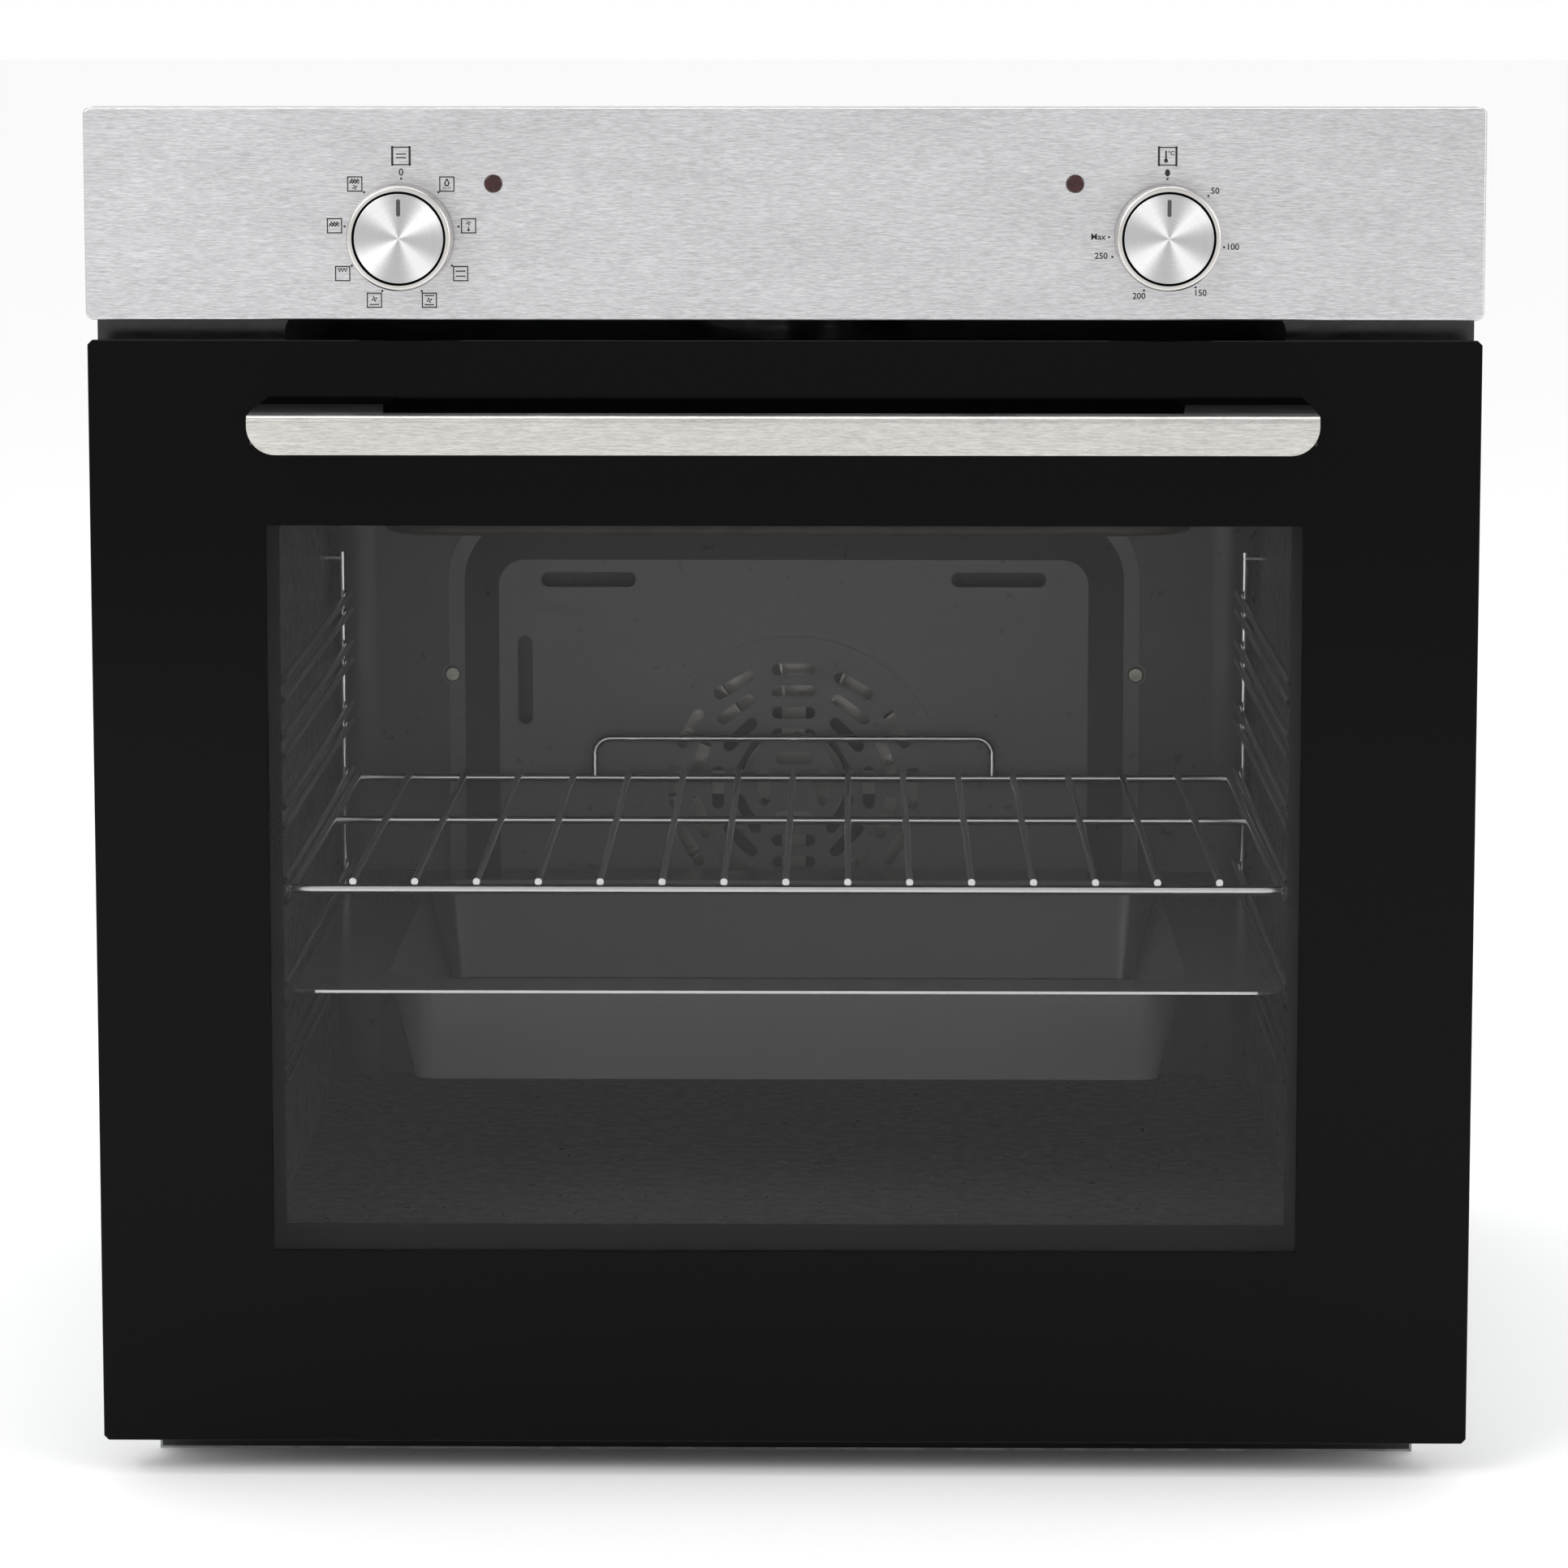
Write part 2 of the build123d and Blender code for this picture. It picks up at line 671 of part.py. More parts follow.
def make_fan_motor():
    start = cavity_rear_face
    motor = disc(fan_motor_plate_radius, 0, fan_z, (start, start + 1.5))
    for i in range(3):
        angle = math.radians(90 + 120 * i)
        motor += disc(3, 34 * math.cos(angle), fan_z + 34 * math.sin(angle), (start, start + 24))
    motor += block((-30, 30), (start + 20, start + 46), (fan_z - 34, fan_z + 34))
    motor += block((-22, 22), (start + 14, start + 56), (fan_z - 32, fan_z - 14))
    motor += disc(14, 0, fan_z, (start + 12, start + 60))
    return motor - disc(fan_shaft_radius + shaft_fit, 0, fan_z, (start, start + 61))


# ---- Heating, lamp and probe ----

def element_route(inner_x, outer_x, near, far, tail, z):
    """The bends of a heating element: down one side, across the front and back again."""
    half = [(30, tail), (30, near + 70), (inner_x, near + 70), (inner_x, far)]
    half += [(outer_x, far), (outer_x, near)]
    return [point(x, depth, z) for x, depth in half] + [point(-x, depth, z) for x, depth in reversed(half)]


def make_grill_element():
    tail = insulation_back + 8
    route = element_route(95, cavity_half - 52, 125, cavity_back - 62, tail, grill_z)
    element = bent_wire(route, element_radius, 25)
    flange = block((-45, 45), (cavity_back - 1.5, cavity_back), (grill_z - 9, grill_z + 9))
    return element + flange


def make_bottom_element():
    tail = insulation_back + 8
    outer = cavity_half - 52
    half = [(30, tail), (30, cavity_back - 62), (outer, cavity_back - 62), (outer, 90)]
    route = [point(x, depth, bottom_element_z) for x, depth in half]
    route += [point(-x, depth, bottom_element_z) for x, depth in reversed(half)]
    return bent_wire(route, element_radius, 30)


def make_lamp_lens():
    lens = disc(lens_radius, lens_x, lens_z, (cavity_back - 14, cavity_back))
    lens = fillet(lens.faces().sort_by(Axis.Y)[0].edges(), 9)
    bore = disc(lens_radius - 3, lens_x, lens_z, (cavity_back - 11, cavity_back))
    return lens - fillet(bore.faces().sort_by(Axis.Y)[0].edges(), 7)


def make_lamp_holder():
    radius = lens_radius - 5
    cup = disc(radius, lens_x, lens_z, (cavity_back, insulation_back + 6))
    cup += disc(radius + 6, lens_x, lens_z, (insulation_back, insulation_back + 2))
    return cup - disc(radius - 2, lens_x, lens_z, (cavity_back, insulation_back + 2))


def make_thermostat_probe():
    depth = cavity_back - 3
    rod = bar(point(probe_x - 40, depth, probe_z), point(probe_x + 40, depth, probe_z), 3)
    return rod + disc(2, probe_x - 40, probe_z, (depth, insulation_back + 4))


# ---- Mains connection ----

def terminal_window(clearance):
    """The opening in the rear cover that the terminal block looks out of."""
    half_x = terminal_half_x + clearance
    half_z = terminal_half_z + clearance
    return block(
        (terminal_x - half_x, terminal_x + half_x),
        (rear_inside, rear_face),
        (terminal_z - half_z, terminal_z + half_z),
    )


def make_terminal_block():
    body = block(
        (terminal_x - terminal_half_x - 5, terminal_x + terminal_half_x + 5),
        (rear_inside - 14, rear_inside),
        (terminal_z - terminal_half_z - 4, terminal_z + terminal_half_z + 4),
    )
    body += terminal_window(0)
    for i in range(5):
        x = terminal_x + (i - 2) * 12
        body -= disc(3.4, x, terminal_z + 7, (rear_face - 7, rear_face))
        body += disc(3.0, x, terminal_z + 7, (rear_face - 8, rear_face - 3))
        body -= block((x - 0.5, x + 0.5), (rear_face - 4, rear_face), (terminal_z + 4, terminal_z + 10))
        body -= block((x - 3.5, x + 3.5), (rear_face - 9, rear_face), (terminal_z - 12, terminal_z - 3))
    return body


# ---- Screws ----

def screw(x, z, head_face, length, forwards):
    """A pan-head screw along Y; its head is in front of head_face or, if not, behind it."""
    sign = -1 if forwards else 1
    head = sorted((head_face, head_face + sign * screw_head_height))
    shank = sorted((head_face, head_face - sign * length))
    made = disc(screw_head_radius, x, z, head)
    outer = made.faces().sort_by(Axis.Y)[0 if forwards else -1]
    made = fillet(outer.edges(), 1)
    made += disc(screw_radius, x, z, shank)
    cross = Pos(x, z) * (Rectangle(4, 0.9) + Rectangle(0.9, 4))
    face = head_face + sign * screw_head_height
    return made - plate(cross, sorted((face, face - sign * 1.0)))


def make_casing_screws():
    x = inner_half - rear_flange / 2
    return [screw(side * x, z, rear_face, 8, False) for side in (-1, 1) for z in casing_screw_heights()]


def make_baffle_screws():
    return [screw(x, z, cavity_back - sheet, 8, True) for x, z in baffle_screw_places()]


def make_handle_screws():
    return [screw(side * handle_screw_x, handle_mid, glass, 20, False) for side in (-1, 1)]


# ---- Side runners, shelf and tray ----

def make_runners():
    heights = [cavity_floor + level * cavity_height for level in runner_levels]
    front = shelf_front - 6
    back = shelf_rear
    low = heights[0] - 14
    high = cavity_ceiling - 52
    made = Part()
    for depth in (front + 8, back - 8):
        x = runner_x + runner_wire + 1.4
        made += upright(2, x, depth, (low, high))
        for z in (low + 3, high - 3):
            made += bar(point(x, depth, z), point(cavity_half, depth, z), 2)
    for height in heights:
        for z in (height - runner_pair / 2, height + runner_pair / 2):
            made += bar(point(runner_x, front, z), point(runner_x, back, z), runner_wire)
    return made


def make_wire_shelf():
    middle = (shelf_front + shelf_rear) / 2 + 30
    shelf = Part()
    for depth, radius in ((shelf_front, wire_radius), (middle, wire_radius - 0.3), (shelf_rear, wire_radius)):
        shelf += bar(point(-shelf_half, depth, shelf_z), point(shelf_half, depth, shelf_z), radius)
    for side in (-1, 1):
        x = side * shelf_half
        shelf += bar(point(x, shelf_front, shelf_z), point(x, shelf_rear, shelf_z), wire_radius)
        for depth in (shelf_front, shelf_rear):
            shelf += Pos(point(x, depth, shelf_z)) * Sphere(wire_radius)
    pitch = 2 * shelf_half / (shelf_bars - 1)
    z = shelf_z + wire_radius + bar_radius - 0.5
    for i in range(1, shelf_bars - 1):
        x = -shelf_half + i * pitch
        shelf += bar(point(x, shelf_front - 1, z), point(x, shelf_rear + 1, z), bar_radius)
    route = [
        point(-hoop_half, shelf_rear, shelf_z),
        point(-hoop_half, shelf_rear, shelf_z + hoop_rise),
        point(hoop_half, shelf_rear, shelf_z + hoop_rise),
        point(hoop_half, shelf_rear, shelf_z),
    ]
    return shelf + bent_wire(route, wire_radius - 0.4, 8)


def tray_basin(shrink, deeper):
    """The tray's sunk part, as a solid that narrows downwards."""
    width = 2 * (tray_half - tray_rim - shrink)
    length = shelf_rear - 7 - shelf_front - 2 - 2 * (28 + shrink)
    middle = front_y + (shelf_front + shelf_rear) / 2 - 2.5
    top = tray_z + tray_sheet / 2
    mouth = Pos(0, middle, top) * RectangleRounded(width, length, tray_corner - shrink)
    return extrude(mouth, amount=-(tray_depth + deeper), taper=tray_taper)


def make_baking_tray():
    rim = Pos(0, front_y + (shelf_front + shelf_rear) / 2 - 2.5, tray_z - tray_sheet / 2) * extrude(
        RectangleRounded(2 * tray_half, shelf_rear - shelf_front - 9, 12), amount=tray_sheet
    )
    return rim + tray_basin(0, 0) - tray_basin(tray_sheet, -tray_sheet)


# ---- Door ----

def make_outer_glass():
    outline = Pos(0, (door_foot + door_top) / 2) * Rectangle(2 * door_half, door_top - door_foot)
    outline = chamfer(outline.vertices(), glass_corner)
    pane = plate(outline, (0, glass))
    pane = chamfer(pane.faces().sort_by(Axis.Y)[0].edges(), 0.4)
    for side in (-1, 1):
        pane -= disc(screw_radius + 1, side * handle_screw_x, handle_mid, (0, glass))
    return pane


def make_inner_glass():
    outline = frame_outline(inner_glass_half, inner_glass_foot, door_top - inner_glass_below_top, 6)
    return plate(outline, (core_back, door_back))


def make_door_column():
    heights = (door_foot + 2.6, door_top - 6)
    column = block((column_inner, column_outer), (glass, core_back), heights)
    column -= block(
        (column_inner + sheet, column_outer - sheet),
        (glass + sheet, core_back - sheet),
        heights,
    )
    slot = (hinge_x - cassette_half_width - 2, hinge_x + cassette_half_width + 2)
    return column - block(slot, (glass + sheet, core_back), (heights[0], pivot_height + 27))


def make_door_top_trim():
    foot = door_top - 6
    trim = block((-column_outer, column_outer), (glass, door_back), (foot, door_top - 2.4))
    lip_foot = door_top - inner_glass_below_top + 2
    trim += block((-column_outer, column_outer), (core_back + 0.5, door_back), (lip_foot, foot))
    for i in range(-10, 11):
        slot = Pos(i * 24, front_y + (glass + core_back) / 2, foot) * extrude(SlotOverall(18, 5), amount=6)
        trim -= slot
    return trim


def make_door_bottom_trim():
    foot = door_foot + 2.6
    trim = block((-column_inner, column_inner), (glass, core_back), (foot, foot + 1.5))
    trim += block((-column_inner, column_inner), (core_back - 1.5, core_back), (foot, inner_glass_foot + 12))
    for i in range(-8, 9):
        trim -= Pos(i * 24, front_y + (glass + core_back) / 2, foot) * extrude(SlotOverall(18, 5), amount=2)
    return trim


def make_glass_clips():
    clips = []
    for side in (-1, 1):
        for z in (inner_glass_foot + 60, door_top - inner_glass_below_top - 60):
            inner = side * inner_glass_half
            outer = side * (inner_glass_half + 9)
            reach = side * (inner_glass_half - 4)
            clip = block(sorted((inner, outer)), (core_back, door_back), (z - 8, z + 8))
            clip += block(sorted((reach, outer)), (door_back, door_back + 0.3), (z - 8, z + 8))
            clips.append(clip)
    return clips


def make_handle_bar():
    outline = Pos(0, handle_mid) * Rectangle(2 * handle_half_length, handle_height)
    outline = fillet(outline.vertices().group_by(Axis.Y)[0], handle_end_curve)
    grip = plate(outline, (-handle_reach, handle_back))
    top_front = grip.faces().sort_by(Axis.Z)[-1].edges().filter_by(Axis.X).sort_by(Axis.Y)[0]
    return fillet(top_front, 3)


def make_handle_post():
    inner = post_inner
    outline = Polyline(
        (inner + post_slant, front_y),
        (inner, front_y + handle_back),
        (handle_half_length, front_y + handle_back),
        (handle_half_length, front_y),
        close=True,
    )
    post = Pos(0, 0, handle_foot + 3) * extrude(make_face(outline), amount=handle_height - 2.5)
    return post - disc(screw_radius, handle_screw_x, handle_mid, (-17, 0))


# ---- Hinges ----

def make_hinge_arm():
    eye = disc_plate(eye_radius, pivot_depth, pivot_height, arm_thickness)
    level = block(
        (hinge_x - arm_thickness / 2, hinge_x + arm_thickness / 2),
        (pivot_depth, arm_reach),
        (pivot_height - arm_half_height, pivot_height + arm_half_height),
    )
    hook = block(
        (hinge_x - arm_thickness / 2, hinge_x + arm_thickness / 2),
        (arm_reach - 10, arm_reach),
        (pivot_height, pivot_height + 12),
    )
    return eye + level + hook - disc_plate(pin_radius + pin_fit, pivot_depth, pivot_height, arm_thickness)


def disc_plate(radius, depth, z, width):
    """A round bar along X, centred on a hinge."""
    start = point(hinge_x - width / 2, depth, z)
    end = point(hinge_x + width / 2, depth, z)
    return bar(start, end, radius)


def make_hinge_receiver():
    half = arm_thickness / 2 + 4
    start = skirt_back
    foot = pivot_height - arm_half_height - 1.5
    channel = block((hinge_x - half, hinge_x + half), (start, arm_reach + 10), (foot, pivot_height + 16))
    return channel - block(
        (hinge_x - half + 1.5, hinge_x + half - 1.5),
        (start, arm_reach + 10),
        (foot + 1.5, pivot_height + 16),
    )


def make_hinge_cassette():
    front = glass + sheet
    back = core_back - sheet - 1
    outer = (hinge_x - cassette_half_width, hinge_x + cassette_half_width)
    inner = (outer[0] + cassette_sheet, outer[1] - cassette_sheet)
    foot = door_foot + 4.6
    box = block(outer, (front, back), (foot, cassette_top))
    box -= block(inner, (front + cassette_sheet, back), (foot, cassette_top - 4))
    return box - disc_plate(pin_radius, pivot_depth, pivot_height, 2 * cassette_half_width)


def make_hinge_pins():
    right = disc_plate(pin_radius, pivot_depth, pivot_height, 2 * cassette_half_width + 1)
    return [right, mirror(right, about=Plane.YZ)]


def make_hinge_springs():
    """A compression spring stands in each hinge cassette, against its front wall."""
    coil = 3.2
    wire = 1.3
    foot = 66.0
    turns = 9
    height = cassette_top - 4 - wire - foot
    helix = Helix(pitch=height / turns, height=height, radius=coil)
    section = Plane(origin=helix @ 0, z_dir=helix % 0) * Circle(wire)
    depth = glass + sheet + cassette_sheet + coil + wire
    spring = Pos(point(hinge_x, depth, foot)) * sweep(section, helix)
    return [spring, mirror(spring, about=Plane.YZ)]


def build_parts():
    """Every piece of the oven by node name."""
    parts = {
        "chassis_base": make_chassis_base(),
        "rear_cover": make_rear_cover(),
        "top_cover": make_top_cover(),
        "front_frame": make_front_frame(),
        "cavity_shell": make_cavity_shell(),
        "insulation": make_insulation(),
        "door_seal": make_door_seal(),
        "control_fascia": make_control_fascia(),
        "control_bracket": make_control_bracket(),
        "pilot_lamp_left": make_pilot_lamp(-1),
        "pilot_lamp_right": make_pilot_lamp(1),
        "function_selector": make_switch_body(-knob_x, 17, 19, 26),
        "thermostat": make_switch_body(knob_x, 20, 19, 32),
        "function_shaft": make_shaft(-knob_x),
        "thermostat_shaft": make_shaft(knob_x),
        "function_knob": make_knob(-knob_x),
        "thermostat_knob": make_knob(knob_x),
        "function_knob_cap": make_cap(-knob_x),
        "thermostat_knob_cap": make_cap(knob_x),
        "air_duct": make_air_duct(),
        "blower_housing": make_blower_housing(),
        "blower_wheel": make_blower_wheel(),
        "blower_motor": make_blower_motor(),
        "fan_baffle": make_fan_baffle(),
        "circulation_fan": make_circulation_fan(),
        "fan_shaft": make_fan_shaft(),
        "fan_motor": make_fan_motor(),
        "grill_element": make_grill_element(),
        "bottom_element": make_bottom_element(),
        "lamp_lens": make_lamp_lens(),
        "lamp_holder": make_lamp_holder(),
        "thermostat_probe": make_thermostat_probe(),
        "terminal_block": make_terminal_block(),
        "wire_shelf": make_wire_shelf(),
        "baking_tray": make_baking_tray(),
        "outer_glass": make_outer_glass(),
        "inner_glass": make_inner_glass(),
        "door_top_trim": make_door_top_trim(),
        "door_bottom_trim": make_door_bottom_trim(),
        "handle_bar": make_handle_bar(),
    }
    pairs = {
        "side_panel": make_side_panel,
        "runners": make_runners,
        "door_column": make_door_column,
        "handle_post": make_handle_post,
        "hinge_arm": make_hinge_arm,
        "hinge_receiver": make_hinge_receiver,
        "hinge_cassette": make_hinge_cassette,
    }
    for name, make in pairs.items():
        parts[name + "_right"], parts[name + "_left"] = both_sides(make)
    groups = {
        "casing_screws": make_casing_screws,
        "baffle_screws": make_baffle_screws,
        "handle_screws": make_handle_screws,
        "glass_clips": make_glass_clips,
        "hinge_pins": make_hinge_pins,
        "hinge_springs": make_hinge_springs,
    }
    for name, make in groups.items():
        parts[name] = Compound(children=make())
    return parts


os.makedirs("parts", exist_ok=True)
for node, solid in build_parts().items():
    export_step(solid, f"parts/{node}.step")
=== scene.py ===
"""A built-in household oven: finishes, small surface pieces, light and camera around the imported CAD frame."""

import logging
import math
from dataclasses import dataclass, field
from enum import Enum
from typing import Iterable, Optional, Sequence

import bmesh
import bpy
from mathutils import Matrix, Vector


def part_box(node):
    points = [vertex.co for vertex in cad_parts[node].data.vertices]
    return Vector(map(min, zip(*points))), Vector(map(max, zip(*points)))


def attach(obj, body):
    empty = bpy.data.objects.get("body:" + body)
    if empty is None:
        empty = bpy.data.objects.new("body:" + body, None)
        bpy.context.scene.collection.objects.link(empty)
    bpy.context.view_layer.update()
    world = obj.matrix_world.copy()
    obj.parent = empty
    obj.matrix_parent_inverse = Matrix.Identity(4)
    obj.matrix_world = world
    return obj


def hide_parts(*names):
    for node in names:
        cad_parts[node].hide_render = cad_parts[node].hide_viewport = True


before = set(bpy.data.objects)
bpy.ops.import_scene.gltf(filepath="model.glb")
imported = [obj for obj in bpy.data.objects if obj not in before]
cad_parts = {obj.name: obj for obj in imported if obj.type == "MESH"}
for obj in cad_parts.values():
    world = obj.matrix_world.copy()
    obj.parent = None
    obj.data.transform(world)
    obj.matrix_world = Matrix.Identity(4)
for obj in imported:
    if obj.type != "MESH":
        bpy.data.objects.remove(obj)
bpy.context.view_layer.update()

LOG = logging.getLogger("oven")
MM = 0.001


# ---------------------------------------------------------------- colour and node helpers


def linear(hex_colour: str, alpha: float = 1.0) -> tuple[float, float, float, float]:
    """Turns an sRGB hex colour to linear light.

    Args:
        hex_colour: Six hex digits, as in "c8c6c4".
        alpha: The fourth number of the result.

    Returns:
        Red, green, blue and alpha.
    """
    parts = [int(hex_colour[i : i + 2], 16) / 255 for i in (0, 2, 4)]
    light = [p / 12.92 if p <= 0.04045 else ((p + 0.055) / 1.055) ** 2.4 for p in parts]
    return (*light, alpha)


def add_node(
    tree: bpy.types.NodeTree, kind: str, inputs: Optional[dict] = None, **settings: object
) -> bpy.types.Node:
    """Adds one shader node, sets its properties and fills its inputs.

    Args:
        tree: The material's or world's node tree.
        kind: Blender's node type name.
        inputs: Input name or index to a value, or to a socket that is linked.
        settings: Node properties by name.

    Returns:
        The new node.
    """
    made = tree.nodes.new(kind)
    for name, value in settings.items():
        setattr(made, name, value)
    for key, value in (inputs or {}).items():
        if isinstance(value, bpy.types.NodeSocket):
            tree.links.new(value, made.inputs[key])
        else:
            made.inputs[key].default_value = value
    return made


# The Mix node's colour sockets, by index because its other sockets share their names.
MIX_FACTOR, MIX_A, MIX_B, MIX_RESULT = 0, 6, 7, 2

# Nearly all of a noise's values lie between these two.
NOISE_LOW, NOISE_HIGH = 0.3, 0.7


# ---------------------------------------------------------------- finishes


@dataclass
class Coat:
    """A material being made: its node tree, Principled shader, output and object coordinates in metres."""

    tree: bpy.types.NodeTree
    shader: bpy.types.Node
    output: bpy.types.Node
    place: bpy.types.NodeSocket

    def grains(
        self, sizes_mm: tuple[float, float, float], detail: float = 2.0, roughness: float = 0.5
    ) -> bpy.types.NodeSocket:
        """Noise whose grains have a given size along each axis.

        Args:
            sizes_mm: Grain size along X, Y and Z.
            detail: How many finer layers the noise has.
            roughness: How strong the finer layers are.

        Returns:
            The noise's value socket.
        """
        scale = tuple(1.0 / (size * MM) for size in sizes_mm)
        mapped = add_node(self.tree, "ShaderNodeMapping", {"Vector": self.place, "Scale": scale})
        inputs = {"Vector": mapped.outputs[0], "Scale": 1.0, "Detail": detail, "Roughness": roughness}
        return add_node(self.tree, "ShaderNodeTexNoise", inputs).outputs["Fac"]

    def colour_between(
        self,
        pattern: bpy.types.NodeSocket,
        dark: str,
        pale: str,
        start: float = NOISE_LOW,
        end: float = NOISE_HIGH,
    ) -> bpy.types.NodeSocket:
        """Colours the surface between two shades by a pattern.

        Args:
            pattern: The pattern's value.
            dark: The hex colour at the value start.
            pale: The hex colour at the value end.
            start: The pattern value that gives dark.
            end: The pattern value that gives pale.

        Returns:
            The colour socket, for a finish that paints over it.
        """
        blend = add_node(
            self.tree, "ShaderNodeMapRange", {"Value": pattern, "From Min": start, "From Max": end}
        )
        shades = {MIX_FACTOR: blend.outputs["Result"], MIX_A: linear(dark), MIX_B: linear(pale)}
        colour = add_node(self.tree, "ShaderNodeMix", shades, data_type="RGBA").outputs[MIX_RESULT]
        self.tree.links.new(colour, self.shader.inputs["Base Color"])
        return colour

    def paint_over(
        self, colour: bpy.types.NodeSocket, mask: bpy.types.NodeSocket, shade: str
    ) -> bpy.types.NodeSocket:
        """Lays one shade over the colour where a mask is 1.

        Args:
            colour: The colour below.
            mask: 1 where the shade covers it, and 0 elsewhere.
            shade: The hex colour on top.

        Returns:
            The new colour socket.
        """
        shades = {MIX_FACTOR: mask, MIX_A: colour, MIX_B: linear(shade)}
        painted = add_node(self.tree, "ShaderNodeMix", shades, data_type="RGBA").outputs[MIX_RESULT]
        self.tree.links.new(painted, self.shader.inputs["Base Color"])
        return painted

    def roughen(
        self,
        pattern: bpy.types.NodeSocket,
        smooth: float,
        rough: float,
        start: float = NOISE_LOW,
        end: float = NOISE_HIGH,
    ) -> None:
        """Lets the roughness follow a pattern.

        Args:
            pattern: The pattern's value.
            smooth: The roughness at the value start.
            rough: The roughness at the value end.
            start: The pattern value that gives smooth.
            end: The pattern value that gives rough.
        """
        inputs = {"Value": pattern, "From Min": start, "From Max": end, "To Min": smooth, "To Max": rough}
        mapped = add_node(self.tree, "ShaderNodeMapRange", inputs)
        self.tree.links.new(mapped.outputs["Result"], self.shader.inputs["Roughness"])

    def relief(self, height: bpy.types.NodeSocket, depth_mm: float, strength: float) -> None:
        """Raises the surface by a pattern.

        Args:
            height: The pattern's value, from 0 to 1.
            depth_mm: The height that 1 stands for.
            strength: How much of it shows.
        """
        inputs = {"Height": height, "Distance": depth_mm * MM, "Strength": strength}
        raised = add_node(self.tree, "ShaderNodeBump", inputs)
        self.tree.links.new(raised.outputs["Normal"], self.shader.inputs["Normal"])


@dataclass(frozen=True)
class Finish:
    """A named surface finish whose material is made once and shared."""

    name: str

    def dress(self, coat: Coat) -> None:
        """Sets the shader for this finish; each finish has its own.

        Args:
            coat: The material being made.
        """
        raise NotImplementedError

    def material(self) -> bpy.types.Material:
        """Makes the material on first use and finds it again after that.

        Returns:
            The material.
        """
        known = bpy.data.materials.get(self.name)
        if known is not None:
            return known
        made = bpy.data.materials.new(self.name)
        made.use_nodes = True
        tree = made.node_tree
        tree.nodes.clear()
        place = add_node(tree, "ShaderNodeTexCoord").outputs["Object"]
        shader = add_node(tree, "ShaderNodeBsdfPrincipled")
        output = add_node(tree, "ShaderNodeOutputMaterial", {"Surface": shader.outputs[0]})
        self.dress(Coat(tree, shader, output, place))
        return made


@dataclass(frozen=True)
class BrushedSteel(Finish):
    """Stainless sheet ground with a belt along X: long fine streaks that spread the light across them."""

    dark: str = "b2b1b3"
    pale: str = "dcdbdd"
    roughness: float = 0.36
    streak_mm: tuple[float, float, float] = (9.0, 9.0, 0.55)
    scratch_mm: tuple[float, float, float] = (3.0, 3.0, 0.22)
    cloud_mm: tuple[float, float, float] = (60.0, 60.0, 18.0)
    grind_depth_mm: float = 0.012

    def dress(self, coat: Coat) -> None:
        """Streaks about 0.5 mm tall and 9 mm long with finer ones between, drawn coarser than real grit.

        Args:
            coat: The material being made.
        """
        streaks = coat.grains(self.streak_mm, 3.0, 0.6)
        scratches = coat.grains(self.scratch_mm)
        clouds = coat.grains(self.cloud_mm)
        marks = {0: streaks, 1: scratches}
        ground = add_node(coat.tree, "ShaderNodeMath", marks, operation="ADD").outputs[0]
        coat.shader.inputs["Metallic"].default_value = 1.0
        coat.colour_between(ground, self.dark, self.pale, 0.72, 1.28)
        coat.roughen(clouds, self.roughness - 0.05, self.roughness + 0.06)
        coat.relief(ground, self.grind_depth_mm, 0.35)


